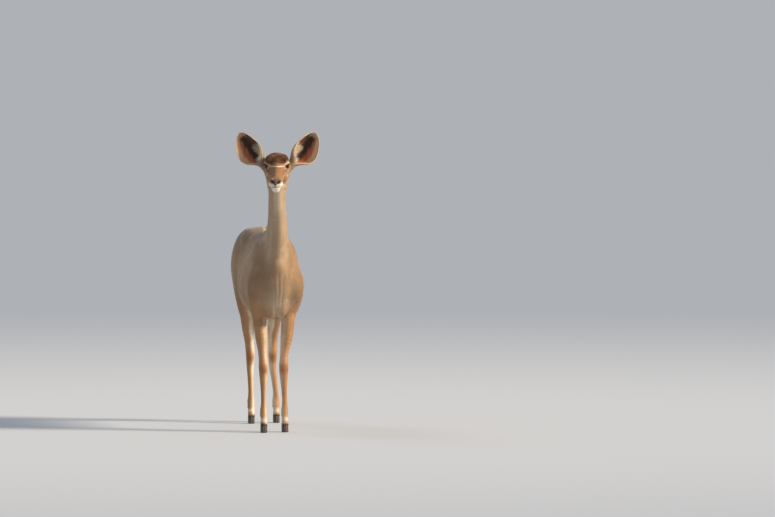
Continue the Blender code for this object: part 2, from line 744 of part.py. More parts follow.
def ear_mesh(side, rows=13, columns=11):
    """The cup as a bent plate with a wall, joined to its solid stalk."""
    sheet = ear_sheet(rows, columns, 0.05)
    along, across = np.gradient(sheet, axis=0), np.gradient(sheet, axis=1)
    normal = np.cross(along, across)
    normal /= np.linalg.norm(normal, axis=2, keepdims=True)
    wall = EAR_WALL * np.linspace(1.0, 0.5, rows)[:, None, None]
    inner = sheet + normal * wall
    points = np.concatenate([sheet.reshape(-1, 3), inner.reshape(-1, 3)])
    count = rows * columns
    faces = []
    for i in range(rows - 1):
        for j in range(columns - 1):
            a = i * columns + j
            quad = (a, a + 1, a + columns + 1, a + columns)
            faces += [quad[::-1], tuple(k + count for k in quad)]
    for i in range(rows - 1):
        a, b = i * columns, i * columns + columns - 1
        faces.append((a, a + columns, a + columns + count, a + count))
        faces.append((b, b + count, b + columns + count, b + columns))
    for j in range(columns - 1):
        a, b = j, (rows - 1) * columns + j
        faces.append((a, a + count, a + 1 + count, a + 1))
        faces.append((b, b + 1, b + 1 + count, b + count))
    item = mesh_object("ear_" + side, points, faces)
    outward(item)
    rings = [(EAR_CUT + GAP, 0.0213), (0.018, 0.0220), (0.030, 0.0200), (0.039, 0.0110)]
    stalk = lathed("stalk", rings, 14)
    PARTS.objects.unlink(stalk)
    cut(item, as_cutter(stalk), "UNION")
    item.data.transform(ear_matrix(side))
    outward(item)
    return item


def outward(item):
    work = bmesh.new()
    work.from_mesh(item.data)
    bmesh.ops.recalc_face_normals(work, faces=work.faces)
    work.to_mesh(item.data)
    work.free()


def lathed(name, rings, sides):
    """A solid of round rings (height, radius) about Z."""
    points = []
    for height, radius in rings:
        for k in range(sides):
            turn = 2 * math.pi * k / sides
            points.append((radius * math.cos(turn), radius * math.sin(turn), height))
    return mesh_object(name, points, stacked_faces(len(rings), sides))


def stacked_faces(rings, sides):
    """Faces of a closed stack of rings, each with the same number of points, counted upward."""
    faces = [tuple(range(sides))[::-1], tuple(range((rings - 1) * sides, rings * sides))]
    for i in range(rings - 1):
        for k in range(sides):
            n = (k + 1) % sides
            faces.append((i * sides + k, i * sides + n, (i + 1) * sides + n, (i + 1) * sides + k))
    return faces


def sphere(name, centre, radii, subdivisions=3):
    work = bmesh.new()
    bmesh.ops.create_icosphere(work, subdivisions=subdivisions, radius=1.0)
    work.transform(Matrix.Translation(centre) @ Matrix.Diagonal((*radii, 1.0)))
    mesh = bpy.data.meshes.new(name)
    work.to_mesh(mesh)
    work.free()
    item = bpy.data.objects.new(name, mesh)
    PARTS.objects.link(item)
    return item


def eye_centre(side):
    return head_matrix() @ Vector((EYE.x * SIDES[side], EYE.y, EYE.z))


# Rings of a claw from the sole up: (toe, heel, half width, height at the toe, height at the heel)
CLAW = [
    (-0.0410, 0.0230, 0.0090, 0.0000, 0.0000),
    (-0.0430, 0.0250, 0.0104, 0.0050, 0.0040),
    (-0.0320, 0.0265, 0.0108, 0.0220, 0.0160),
    (-0.0180, 0.0260, 0.0104, CORONET_HEIGHT, 0.0300),
]
CLAW_SIDES = 14
CLAW_APART = 0.0114
CLEFT = 0.0008


def claw(name, x, y, inner):
    """One claw, with its toe to -Y: `inner` is the direction of the other claw, and its wall on that side is flat."""
    points = []
    for toe, heel, half, front, back in CLAW:
        for k in range(CLAW_SIDES):
            turn = 2 * math.pi * k / CLAW_SIDES
            share = 0.5 - 0.5 * math.cos(turn)
            toe_in = 0.0060 * (1 - share) ** 2
            wide = half * abs(math.sin(turn)) * (1 - 0.30 * (1 - share) ** 2) - toe_in
            if math.sin(turn) < 0:
                flat = CLAW_APART - CLEFT
                wide = -min(flat * 1.6 * abs(math.sin(turn)) + toe_in, flat)
            points.append((x - wide * inner, y + toe + (heel - toe) * share, front + (back - front) * share))
    item = mesh_object(name, points, stacked_faces(len(CLAW), CLAW_SIDES))
    outward(item)
    return item


# Locks of hair


def slope_at(points):
    probe = 0.0005
    value = animal(points)
    slope = np.column_stack([animal(points + probe * axis) - value for axis in np.eye(3)]) / probe
    return slope / np.linalg.norm(slope, axis=1, keepdims=True)


def on_surface(points):
    """The points drawn onto the animal, and the direction straight out of it there."""
    points = settled(np.array(points, float), 24)
    return points, slope_at(points)


def lock(name, root, out, lean, length, width, thick, lift):
    """A flat, tapered lock of four-sided rings, bending from its root's slope over to its lean."""
    out, lean = Vector(out).normalized(), Vector(lean).normalized()
    points = []
    spot = Vector(root) - out * 0.005
    steps = (0.0, 0.3, 0.35, 0.35)
    shape = ((1.0, 1.0), (1.15, 1.0), (0.75, 0.7))
    for i, step in enumerate(steps):
        bend = sum(steps[: i + 1])
        direction = (lean + out * lift * (1.2 - bend)).normalized()
        spot = spot + direction * (length * step) + (out * 0.003 if i == 1 else Vector())
        if i == 3:
            points.append(spot)
            break
        across = direction.cross(out)
        if across.length < 0.2:
            across = direction.orthogonal()
        across.normalize()
        up = across.cross(direction).normalized()
        wide, high = width * shape[i][0], thick * shape[i][1]
        points += [spot + across * wide, spot + up * high, spot - across * wide, spot - up * high]
    faces = [(0, 1, 2, 3)]
    for i in (0, 4):
        for k in range(4):
            n = (k + 1) % 4
            faces.append((i + k, i + n, i + 4 + n, i + 4 + k))
    faces += [(8 + k, 8 + (k + 1) % 4, 12) for k in range(4)]
    item = mesh_object(name, points, faces)
    outward(item)
    return item


def grown(item, locks):
    """The locks joined to their flesh in one Boolean, and then removed."""
    group = bpy.data.collections.new("locks")
    bpy.context.scene.collection.children.link(group)
    for piece in locks:
        PARTS.objects.unlink(piece)
        group.objects.link(piece)
    boolean = item.modifiers.new("locks", "BOOLEAN")
    boolean.operation = "UNION"
    boolean.solver = "MANIFOLD"
    boolean.operand_type = "COLLECTION"
    boolean.collection = group
    baked(item)
    for piece in locks:
        bpy.data.objects.remove(piece)
    bpy.data.collections.remove(group)
    return largest_body(item)


def nape_locks(chance):
    """Along the back of the neck from the poll to the withers."""
    rows = np.array(NECK_LINE)
    share = np.linspace(0.94, 0.30, NAPE_LOCKS)
    at = smooth_curve(np.column_stack([np.linspace(0, 1, len(rows)), rows]), share)
    ahead = smooth_curve(np.column_stack([np.linspace(0, 1, len(rows)), rows]), share + 0.02)
    run = (ahead - at)[:, :3]
    run /= np.linalg.norm(run, axis=1, keepdims=True)
    back = np.column_stack([np.zeros(len(run)), run[:, 2], -run[:, 1]])
    start = at[:, :3] + back * at[:, 4:5] * 1.02
    start[:, 0] += chance.uniform(-0.009, 0.009, len(start))
    roots, outs = on_surface(start)
    locks = []
    for root, out, direction in zip(roots, outs, run):
        lean = -direction + (chance.uniform(-0.35, 0.35), 0, 0)
        length = NAPE_LENGTH * chance.uniform(0.8, 1.2)
        locks.append(lock("lock", root, out, lean, length, 0.0075, 0.0032, chance.uniform(0.5, 0.9)))
    return locks


def back_locks(chance):
    """Along the spine behind the withers."""
    places = np.linspace(-0.225, 0.10, BACK_LOCKS)
    start = [(chance.uniform(-0.010, 0.010), y, WITHERS - 0.005) for y in places]
    roots, outs = on_surface(start)
    locks = []
    for root, out in zip(roots, outs):
        lean = (chance.uniform(-0.35, 0.35), 1.0, 0.0)
        length = NAPE_LENGTH * chance.uniform(0.65, 1.0)
        locks.append(lock("lock", root, out, lean, length, 0.0075, 0.0030, chance.uniform(0.3, 0.6)))
    return locks


def crown_locks(chance):
    """The woolly tuft between the ears, falling forward onto the brow."""
    matrix = head_matrix()
    turn = 2.399963
    start = []
    for k in range(CROWN_LOCKS):
        reach = math.sqrt((k + 0.5) / CROWN_LOCKS)
        across, along = 0.056 * reach * math.cos(k * turn), 0.012 + 0.050 * reach * math.sin(k * turn)
        start.append(matrix @ Vector((across, along, 0.058)))
    roots, outs = on_surface(start)
    locks = []
    back = matrix.to_3x3()
    for root, out in zip(roots, outs):
        side = (back.transposed() @ (Vector(root) - matrix.translation)).x
        lean = back @ Vector((side * 14 + chance.uniform(-0.4, 0.4), chance.uniform(-1.2, -0.4), 0.2))
        length = CROWN_LENGTH * chance.uniform(0.85, 1.2)
        locks.append(lock("lock", root, out, lean, length, 0.0095, 0.0048, chance.uniform(0.45, 0.9)))
    return locks


def tail_locks(chance):
    """Hair down both edges of the tail, longest at its tip."""
    rows = np.array(TAIL_LINE)
    locks = []
    for k in range(TAIL_LOCKS):
        share = 0.42 + 0.58 * (k / (TAIL_LOCKS - 1)) ** 0.8
        at = smooth_curve(np.column_stack([np.linspace(0, 1, len(rows)), rows]), np.array([share]))[0]
        side = 1.0 if k % 2 else -1.0
        out = Vector((side, chance.uniform(-0.3, 0.9), -0.1)).normalized()
        root = Vector(at[:3]) + out * (at[3] - 0.001)
        lean = Vector((0.30 * side * (1.15 - share), 0.10, -1.0))
        length = TAIL_LENGTH * (0.55 + 0.55 * share) * chance.uniform(0.85, 1.15)
        locks.append(lock("lock", root, out, lean, length, 0.0115, 0.0044, chance.uniform(0.10, 0.35)))
    return locks


# Materials and the whole animal

LOOKS = {
    "coat": ((0.36, 0.25, 0.17), 0.85),
    "eye": ((0.02, 0.013, 0.01), 0.12),
    "horn": ((0.035, 0.030, 0.027), 0.45),
}


def dressed(item, look):
    colour, rough = LOOKS[look]
    material = bpy.data.materials.get(look)
    if not material:
        material = bpy.data.materials.new(look)
        material.use_nodes = True
        shader = material.node_tree.nodes["Principled BSDF"]
        shader.inputs["Base Color"].default_value = (*colour, 1.0)
        shader.inputs["Roughness"].default_value = rough
    item.data.materials.clear()
    item.data.materials.append(material)


def trunk_neck_head():
    chance = np.random.default_rng(11)
    torso = flesh("torso", (-0.26, -0.70, 0.55), (0.26, 0.76, 1.30), 0.008, 2650)
    neck_part = flesh("neck", (-0.16, -0.84, 0.90), (0.14, -0.20, 1.68), 0.006, 900)
    head = flesh("head", (-0.17, -1.04, 1.40), (0.13, -0.60, 1.74), 0.0022, 3300)
    tail = flesh("tail", (-0.06, 0.60, 0.80), (0.06, 0.74, 1.16), 0.004, 260)
    grown(torso, back_locks(chance))
    grown(neck_part, nape_locks(chance))
    grown(head, crown_locks(chance))
    cut(torso, neck_cutter(GAP))
    cut(torso, tail_cutter(GAP))
    cut(neck_part, neck_cutter(), "INTERSECT")
    cut(neck_part, head_cutter(GAP))
    cut(head, head_cutter(), "INTERSECT")
    cut(tail, tail_cutter(), "INTERSECT")
    for side in SIDES:
        cut(head, ear_cutter(side))
        hole = sphere("hole", eye_centre(side), (EYE_RADIUS + 2 * GAP,) * 3)
        PARTS.objects.unlink(hole)
        cut(head, as_cutter(hole))
        sphere("eye_" + side, eye_centre(side), (EYE_RADIUS,) * 3)
        ear_mesh(side)
    grown(tail, tail_locks(chance))
    return torso


def legs(torso):
    for side, s in SIDES.items():
        x0, x1 = sorted((-0.01 * s, 0.24 * s))
        fore = flesh("leg_front_" + side, (x0, -0.64, 0.0), (x1, -0.24, 0.90), 0.004, 1150)
        hind = flesh("leg_hind_" + side, (x0, 0.24, 0.0), (x1, 0.76, 1.05), 0.004, 1250)
        cut(fore, foreleg_cutter(side), "INTERSECT")
        cut(hind, hindleg_cutter(side), "INTERSECT")
        cut(torso, foreleg_cutter(side, GAP))
        cut(torso, hindleg_cutter(side, GAP))
        for leg, end, foot in ((fore, "front", FRONT_FEET[side]), (hind, "hind", HIND_FEET[side])):
            cut(leg, hoof_cutter(*foot, GAP))
            feet(leg, end, side, foot)


def feet(leg, end, side, foot):
    """Two claws under the leg and two dewclaws set in the back of its fetlock."""
    x, y = foot
    for place, s in (("inner", -SIDES[side]), ("outer", SIDES[side])):
        name = end + "_" + side + "_" + place
        claw("hoof_" + name, x + CLAW_APART * s, y, -s)
        ankle = y + (0.022 if end == "front" else 0.036)
        centre = Vector((x + 0.0125 * s, ankle + 0.0205, FETLOCK_HEIGHT - 0.027))
        size = Vector((0.0076, 0.0080, 0.0125))
        hole = sphere("hole", centre, size + Vector((GAP, GAP, GAP)), 2)
        PARTS.objects.unlink(hole)
        cut(leg, as_cutter(hole))
        sphere("dewclaw_" + name, centre, size, 2)


def centred():
    """Moves the whole animal so that its box stands on the origin, and returns how far."""
    low, high = np.full(3, 9.0), np.full(3, -9.0)
    for item in PARTS.objects:
        points = np.array([v.co[:] for v in item.data.vertices])
        low, high = np.minimum(low, points.min(0)), np.maximum(high, points.max(0))
    move = Vector((-(low[0] + high[0]) / 2, -(low[1] + high[1]) / 2, -low[2]))
    for item in PARTS.objects:
        item.data.transform(Matrix.Translation(move))
    return move


clear_scene()
PARTS = bpy.data.collections.new("kudu")
CUTTERS = bpy.data.collections.new("cutters")
for made in (PARTS, CUTTERS):
    bpy.context.scene.collection.children.link(made)
ALL_FORMS = body_forms() + head_forms()
legs(trunk_neck_head())
for part in PARTS.objects:
    kind = part.name.split("_")[0]
    dressed(part, {"eye": "eye", "hoof": "horn", "dewclaw": "horn"}.get(kind, "coat"))
SHIFT = centred()
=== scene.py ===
"""The looks of a standing greater kudu cow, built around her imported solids.

One skin follows the blend of forms that the solids were cut from, lower by the depth of the coat. Tufts of
hair, locks for crown, mane and tail, and finer ears, eyes, claws and dewclaws go over it. Colours are worked
out from the place on the body by one set of functions, so that skin and coat carry the same markings.
"""

import math

import bmesh
import bpy
import numpy as np
from mathutils import Matrix, Vector


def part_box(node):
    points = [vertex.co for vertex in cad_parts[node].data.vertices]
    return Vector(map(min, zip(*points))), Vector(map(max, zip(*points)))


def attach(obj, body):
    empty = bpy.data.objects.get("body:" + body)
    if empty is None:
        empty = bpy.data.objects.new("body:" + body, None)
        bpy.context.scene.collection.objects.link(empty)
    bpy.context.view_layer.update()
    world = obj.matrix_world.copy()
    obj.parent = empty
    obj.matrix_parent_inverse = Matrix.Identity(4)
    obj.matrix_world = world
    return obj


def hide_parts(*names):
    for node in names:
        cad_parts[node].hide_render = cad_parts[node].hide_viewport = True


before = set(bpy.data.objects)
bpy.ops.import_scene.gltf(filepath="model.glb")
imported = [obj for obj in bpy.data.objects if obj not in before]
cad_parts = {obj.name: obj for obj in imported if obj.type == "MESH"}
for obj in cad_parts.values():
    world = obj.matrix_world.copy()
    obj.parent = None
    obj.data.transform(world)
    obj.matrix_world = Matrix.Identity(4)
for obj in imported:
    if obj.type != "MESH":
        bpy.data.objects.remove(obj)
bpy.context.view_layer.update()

# The driving dimensions, as in the solids
WITHERS = 1.232
CROUP = 1.210
CHEST_FLOOR = 0.675
EYE_RADIUS = 0.0195
KNEE_HEIGHT = 0.375
HOCK_HEIGHT = 0.41
FETLOCK_HEIGHT = 0.125
CORONET_HEIGHT = 0.0475

# Where each foot stands on the floor, and where its knee or hock is
FRONT_FEET = {"left": (0.055, -0.468), "right": (-0.076, -0.512)}
KNEES = {"left": (0.049, -0.448), "right": (-0.075, -0.472)}
HIND_FEET = {"left": (0.090, 0.530), "right": (-0.070, 0.455)}
HOCKS = {"left": (0.073, 0.607), "right": (-0.067, 0.572)}
SIDES = {"left": 1.0, "right": -1.0}

# The head looks a little to her right and down
HEAD_ORIGIN = Vector((-0.019, -0.765, 1.592))
HEAD_YAW = math.radians(-7.5)
HEAD_PITCH = math.radians(24.0)

# Each ear: its root from between the eyes, its lean, and how far its cup opens to the side
EAR_ROOT = (0.072, 0.048, 0.004)
EAR_LEAN = (0.150, 0.030, 0.204)
EAR_LENGTH = 0.255
EAR_OUTWARD = 0.12
EAR_WALL = 0.0032

# A value beyond every form, how far past its box a form is felt, and a block's grid points each way
FAR = 1.0
REACH = 0.06
BLOCK = 4


def head_matrix():
    turn = Matrix.Rotation(HEAD_YAW, 4, "Z") @ Matrix.Rotation(HEAD_PITCH, 4, "X")
    return Matrix.Translation(HEAD_ORIGIN) @ turn


def smooth_curve(rows, at):
    """Values at the positions `at` on a smooth curve through rows of (position, value, value, ...)."""
    rows = np.array(rows, float)
    x, y = rows[:, 0], rows[:, 1:]
    slope = np.gradient(y, x, axis=0)
    at = np.clip(at, x[0], x[-1])
    i = np.clip(np.searchsorted(x, at) - 1, 0, len(x) - 2)
    span = (x[i + 1] - x[i])[:, None]
    t = (at - x[i])[:, None] / span
    a, b = y[i], y[i + 1]
    rise = slope[i] * span * (t**3 - 2 * t**2 + t) + slope[i + 1] * span * (t**3 - t**2)
    return a * (2 * t**3 - 3 * t**2 + 1) + b * (3 * t**2 - 2 * t**3) + rise


class Form:
    """One solid form: its distance at points, negative inside, and the box that holds it."""

    def __init__(self, low, high, distance):
        self.low = np.array(low, float)
        self.high = np.array(high, float)
        self.distance = distance


def placed(form, matrix):
    """The form moved and turned by a matrix without scale."""
    back = np.array(matrix.inverted(), float)
    corners = [
        matrix @ Vector((x, y, z))
        for x in (form.low[0], form.high[0])
        for y in (form.low[1], form.high[1])
        for z in (form.low[2], form.high[2])
    ]
    low, high = np.min(corners, axis=0), np.max(corners, axis=0)
    return Form(low, high, lambda p: form.distance(p @ back[:3, :3].T + back[:3, 3]))


def ball(centre, radii, pitch=0.0, yaw=0.0, roll=0.0):
    """An ellipsoid, turned in degrees about X, Z and Y."""
    radii = np.array(radii, float)

    def distance(p):
        scaled = np.linalg.norm(p / radii, axis=1)
        steep = np.linalg.norm(p / radii**2, axis=1)
        return scaled * (scaled - 1) / np.maximum(steep, 1e-6)

    turn = Matrix.Rotation(math.radians(yaw), 4, "Z") @ Matrix.Rotation(math.radians(pitch), 4, "X")
    turn = turn @ Matrix.Rotation(math.radians(roll), 4, "Y")
    return placed(Form(-radii, radii, distance), Matrix.Translation(centre) @ turn)


def tube(stations, fine=4):
    """A bending tube through stations of (x, y, z, half width, half depth), oval across."""
    rows = np.array(stations, float)
    along = np.concatenate([[0], np.cumsum(np.linalg.norm(np.diff(rows[:, :3], axis=0), axis=1))])
    at = np.linspace(0, along[-1], (len(rows) - 1) * fine + 1)
    rows = smooth_curve(np.column_stack([along, rows]), at)

    def distance(p):
        nearest = np.full(len(p), FAR)
        for a, b in zip(rows[:-1], rows[1:]):
            step = b[:3] - a[:3]
            t = np.clip((p - a[:3]) @ step / (step @ step), 0, 1)
            off = p - a[:3] - t[:, None] * step
            wide, deep = (a[3] + t * (b[3] - a[3])), (a[4] + t * (b[4] - a[4]))
            length = np.linalg.norm(off, axis=1)
            across = off[:, 0] ** 2
            scaled = np.sqrt(across / wide**2 + np.maximum(length**2 - across, 0) / deep**2)
            size = np.where(scaled > 1e-4, length / np.maximum(scaled, 1e-4), np.minimum(wide, deep))
            nearest = np.minimum(nearest, length - size)
        return nearest

    widest = rows[:, 3:].max()
    return Form(rows[:, :3].min(0) - widest, rows[:, :3].max(0) + widest, distance)


def ribbed(stations, round_end, top_taper, low_taper, low_power=2.0):
    """A form along Y through stations of (y, top, bottom, half width, how far up it is widest, 0 to 1)."""
    rows = np.array(stations, float)
    first, last = rows[0, 0], rows[-1, 0]

    def distance(p):
        top, bottom, wide, waist = smooth_curve(rows, p[:, 1]).T
        middle = bottom + waist * (top - bottom)
        rise = p[:, 2] - middle
        high = np.where(rise > 0, top - middle, middle - bottom)
        share = np.clip(np.abs(rise) / high, 0, 1)
        narrow = 1 - np.where(rise > 0, top_taper, low_taper) * share
        past = np.maximum(first - p[:, 1], 0) + np.maximum(p[:, 1] - last, 0)
        power = np.where(rise > 0, 2.0, low_power)
        across = np.abs(p[:, 0]) / (wide * narrow)
        section = (across**power + (np.abs(rise) / high) ** power) ** (1 / power)
        scaled = np.sqrt(section**2 + (past / round_end) ** 2)
        length = np.sqrt(p[:, 0] ** 2 + rise**2 + past**2)
        return np.where(scaled > 1e-3, length - length / np.maximum(scaled, 1e-3), -0.5 * wide)

    wide = rows[:, 3].max()
    low = (-wide, first - round_end, rows[:, 2].min())
    high = (wide, last + round_end, rows[:, 1].max())
    return Form(low, high, distance)


# The body's forms: each entry is (form, blend radius), and a blend below zero carves


def trunk():
    stations = [
        (-0.575, 1.050, 0.800, 0.075, 0.50),
        (-0.520, 1.120, 0.725, 0.112, 0.48),
        (-0.420, 1.190, 0.680, 0.135, 0.46),
        (-0.300, WITHERS, CHEST_FLOOR, 0.150, 0.44),
        (-0.160, 1.196, 0.672, 0.173, 0.43),
        (0.000, 1.165, 0.674, 0.188, 0.43),
        (0.140, 1.168, 0.690, 0.187, 0.44),
        (0.280, 1.190, 0.740, 0.168, 0.48),
        (0.400, CROUP, 0.815, 0.150, 0.50),
        (0.510, 1.190, 0.870, 0.128, 0.50),
        (0.600, 1.125, 0.910, 0.085, 0.50),
    ]
    return [(ribbed(stations, 0.05, 0.24, 0.04, 2.6), 0.02)]


def shoulders():
    forms = []
    for s in SIDES.values():
        forms += [
            (ball((0.086 * s, -0.385, 0.990), (0.056, 0.088, 0.168), pitch=-24), 0.05),
            (ball((0.096 * s, -0.500, 0.880), (0.058, 0.066, 0.085), pitch=-10), 0.05),
            (ball((0.112 * s, -0.405, 0.848), (0.056, 0.088, 0.125), pitch=24), 0.065),
            (ball((0.098 * s, -0.350, 0.745), (0.032, 0.036, 0.045)), 0.04),
        ]
    return forms


def breast():
    """The two breast muscles and the keel between the forelegs."""
    forms = [(ball((0.0, -0.515, 0.865), (0.078, 0.085, 0.150)), 0.05)]
    for s in SIDES.values():
        lobe = ball((0.034 * s, -0.512, 0.765), (0.034, 0.056, 0.086), pitch=16, roll=6 * s)
        forms.append((lobe, 0.022))
    return forms


NECK_LINE = [
    (0.000, -0.300, 1.020, 0.085, 0.165),
    (0.003, -0.400, 1.085, 0.081, 0.152),
    (0.005, -0.475, 1.175, 0.069, 0.118),
    (0.003, -0.537, 1.275, 0.060, 0.089),
    (-0.003, -0.588, 1.385, 0.0555, 0.072),
    (-0.004, -0.620, 1.460, 0.0580, 0.067),
    (-0.005, -0.640, 1.510, 0.0690, 0.064),
    (-0.015, -0.668, 1.580, 0.0560, 0.058),
]


def neck():
    windpipe = [
        (0.000, -0.535, 0.930, 0.055, 0.056),
        (0.001, -0.553, 1.030, 0.050, 0.050),
        (0.003, -0.592, 1.180, 0.042, 0.040),
        (-0.003, -0.642, 1.340, 0.035, 0.031),
        (-0.011, -0.690, 1.475, 0.034, 0.028),
    ]
    return [(tube(NECK_LINE), 0.045), (tube(windpipe, 3), 0.035)]


def haunches():
    forms = []
    for s in SIDES.values():
        forms += [
            (ball((0.078 * s, 0.400, 1.118), (0.076, 0.130, 0.084), pitch=-6), 0.05),
            (ball((0.107 * s, 0.460, 0.970), (0.089, 0.145, 0.190), pitch=-12), 0.05),
            (ball((0.066 * s, 0.560, 0.985), (0.058, 0.078, 0.150), pitch=10), 0.05),
            (ball((0.112 * s, 0.385, 0.790), (0.050, 0.072, 0.090), pitch=-20), 0.06),
            (ball((0.088 * s, 0.548, 0.850), (0.048, 0.066, 0.110), pitch=-8), 0.05),
        ]
    return forms


def foreleg(side):
    s = SIDES[side]
    x, y = FRONT_FEET[side]
    knee_x, knee_y = KNEES[side]
    ankle_y = y + 0.022
    bone = [
        (0.102 * s - 0.003, -0.400, 0.800, 0.049, 0.065),
        (0.088 * s - 0.006, -0.400, 0.700, 0.0455, 0.056),
        (0.078 * s - 0.008, 0.5 * (-0.405 + knee_y), 0.580, 0.0390, 0.0430),
        (knee_x + 0.003 * s, knee_y + 0.012, 0.450, 0.0265, 0.0295),
        (knee_x, knee_y - 0.004, KNEE_HEIGHT + 0.010, 0.0305, 0.0325),
        (knee_x, knee_y - 0.002, KNEE_HEIGHT - 0.035, 0.0265, 0.0275),
        (0.5 * (knee_x + x), 0.5 * (knee_y + ankle_y), 0.250, 0.0188, 0.0190),
        (x, ankle_y, FETLOCK_HEIGHT + 0.035, 0.0188, 0.0200),
        (x, ankle_y, FETLOCK_HEIGHT, 0.0232, 0.0240),
        (x, y + 0.008, 0.085, 0.0202, 0.0205),
        (x, y - 0.002, 0.050, 0.0225, 0.0250),
        (x, y - 0.008, 0.020, 0.0225, 0.0270),
    ]
    tendon = [
        (knee_x, knee_y + 0.020, KNEE_HEIGHT + 0.005, 0.010, 0.013),
        (0.5 * (knee_x + x), 0.5 * (knee_y + ankle_y) + 0.020, 0.250, 0.0090, 0.0105),
        (x, ankle_y + 0.016, FETLOCK_HEIGHT + 0.012, 0.0130, 0.0125),
    ]
    heel = ball((x, y + 0.020, 0.048), (0.0200, 0.0160, 0.0190))
    return [(tube(bone, 3), 0.035), (tube(tendon), 0.012), (heel, 0.012)]


def hindleg(side):
    s = SIDES[side]
    x, y = HIND_FEET[side]
    hock_x, hock_y = HOCKS[side]
    ankle_y = y + 0.036
    thigh = [
        (0.096 * s, 0.470, 0.960, 0.070, 0.150),
        (0.104 * s - 0.002, 0.450, 0.850, 0.0615, 0.125),
        (0.102 * s - 0.005, 0.460, 0.760, 0.0555, 0.096),
        (0.6 * 0.100 * s + 0.4 * hock_x - 0.007, 0.488, 0.680, 0.0475, 0.070),
        (0.3 * 0.100 * s + 0.7 * hock_x - 0.007, 0.5 * (0.500 + hock_y), 0.585, 0.0385, 0.0500),
        (0.1 * 0.100 * s + 0.9 * hock_x - 0.003, hock_y - 0.014, 0.490, 0.0295, 0.0360),
        (hock_x, hock_y - 0.006, HOCK_HEIGHT, 0.0285, 0.0330),
        (hock_x, hock_y - 0.002, HOCK_HEIGHT - 0.055, 0.0245, 0.0265),
        (0.5 * (hock_x + x), 0.5 * (hock_y + ankle_y) - 0.002, 0.260, 0.0188, 0.0195),
        (x, ankle_y, FETLOCK_HEIGHT + 0.038, 0.0188, 0.0200),
        (x, ankle_y, FETLOCK_HEIGHT, 0.0232, 0.0240),
        (x, y + 0.012, 0.085, 0.0202, 0.0205),
        (x, y, 0.050, 0.0225, 0.0250),
        (x, y - 0.006, 0.020, 0.0225, 0.0270),
    ]
    heel_cord = [
        (0.098 * s, 0.525, 0.720, 0.026, 0.036),
        (0.4 * 0.090 * s + 0.6 * hock_x, hock_y - 0.006, 0.600, 0.0145, 0.0230),
        (hock_x, hock_y + 0.032, 0.500, 0.0115, 0.0150),
        (hock_x, hock_y + 0.041, 0.452, 0.0155, 0.0155),
        (hock_x, hock_y + 0.024, HOCK_HEIGHT - 0.035, 0.0130, 0.0135),
        (0.5 * (hock_x + x), 0.5 * (hock_y + ankle_y) + 0.019, 0.250, 0.0090, 0.0105),
        (x, ankle_y + 0.017, FETLOCK_HEIGHT + 0.012, 0.0130, 0.0125),
    ]
    heel = ball((x, y + 0.022, 0.048), (0.0200, 0.0160, 0.0190))
    return [(tube(thigh, 3), 0.045), (tube(heel_cord, 3), 0.022), (heel, 0.012)]


TAIL_LINE = [
    (0.0, 0.585, 1.125, 0.028, 0.034),
    (0.0, 0.638, 1.108, 0.021, 0.023),
    (0.0, 0.676, 1.060, 0.0165, 0.0155),
    (0.0, 0.692, 0.970, 0.0135, 0.0125),
    (0.0, 0.692, 0.870, 0.0100, 0.0090),
]


def body_forms():
    forms = trunk() + shoulders() + breast() + haunches()
    for side in SIDES:
        forms += foreleg(side) + hindleg(side)
    return forms + neck() + [(tube(TAIL_LINE), 0.02)]


# The head, in its own frame: its nose points to -Y, and its origin lies between the eyes

EYE = Vector((0.0555, -0.004, 0.0170))
EYE_LOOK = Vector((0.80, -0.59, 0.09)).normalized()
SLIT_HALF_LENGTH = 0.0175
SLIT_HALF_HEIGHT = 0.0105
SLIT_SLOPE = 16.0
MOUTH_CORNER = -0.120
MOUTH_HEIGHT = -0.0250


def skull():
    stations = [
        (-0.202, 0.013, -0.054, 0.0300, 0.52),
        (-0.186, 0.022, -0.067, 0.0365, 0.52),
        (-0.155, 0.030, -0.075, 0.0380, 0.53),
        (-0.118, 0.037, -0.080, 0.0385, 0.55),
        (-0.080, 0.044, -0.086, 0.0445, 0.58),
        (-0.042, 0.053, -0.096, 0.0520, 0.62),
        (-0.010, 0.060, -0.106, 0.0600, 0.64),
        (0.020, 0.063, -0.113, 0.0610, 0.62),
        (0.052, 0.056, -0.108, 0.0560, 0.58),
        (0.085, 0.036, -0.075, 0.0460, 0.55),
    ]
    crown = ball((0.0, 0.030, 0.045), (0.068, 0.056, 0.032))
    return [(ribbed(stations, 0.020, 0.26, 0.30), 0.02), (crown, 0.02)]


def face():
    forms = []
    for s in SIDES.values():
        cheekbone = [
            (0.056 * s, 0.045, 0.002, 0.012, 0.014),
            (0.060 * s, 0.005, -0.009, 0.011, 0.013),
            (0.048 * s, -0.045, -0.009, 0.009, 0.012),
            (0.034 * s, -0.095, -0.006, 0.004, 0.006),
        ]
        forms += [
            (ball((0.049 * s, 0.006, 0.025), (0.027, 0.038, 0.025)), 0.028),
            (tube(cheekbone, 3), 0.018),
            (ball((0.045 * s, 0.022, -0.056), (0.026, 0.048, 0.054)), 0.028),
            (ball((0.0195 * s, -0.192, 0.005), (0.0165, 0.024, 0.0185), yaw=12 * s), 0.010),
            (ball((0.0215 * s, -0.190, -0.0140), (0.0215, 0.026, 0.0150), yaw=14 * s), 0.010),
        ]
    low_lip = ball((0.0, -0.182, -0.0400), (0.0250, 0.0290, 0.0150), pitch=-6)
    chin = ball((0.0, -0.166, -0.0600), (0.0235, 0.0340, 0.0195), pitch=-10)
    nose_pad = ball((0.0, -0.199, 0.001), (0.017, 0.020, 0.022))
    return forms + [(low_lip, 0.008), (chin, 0.012), (nose_pad, 0.008)]


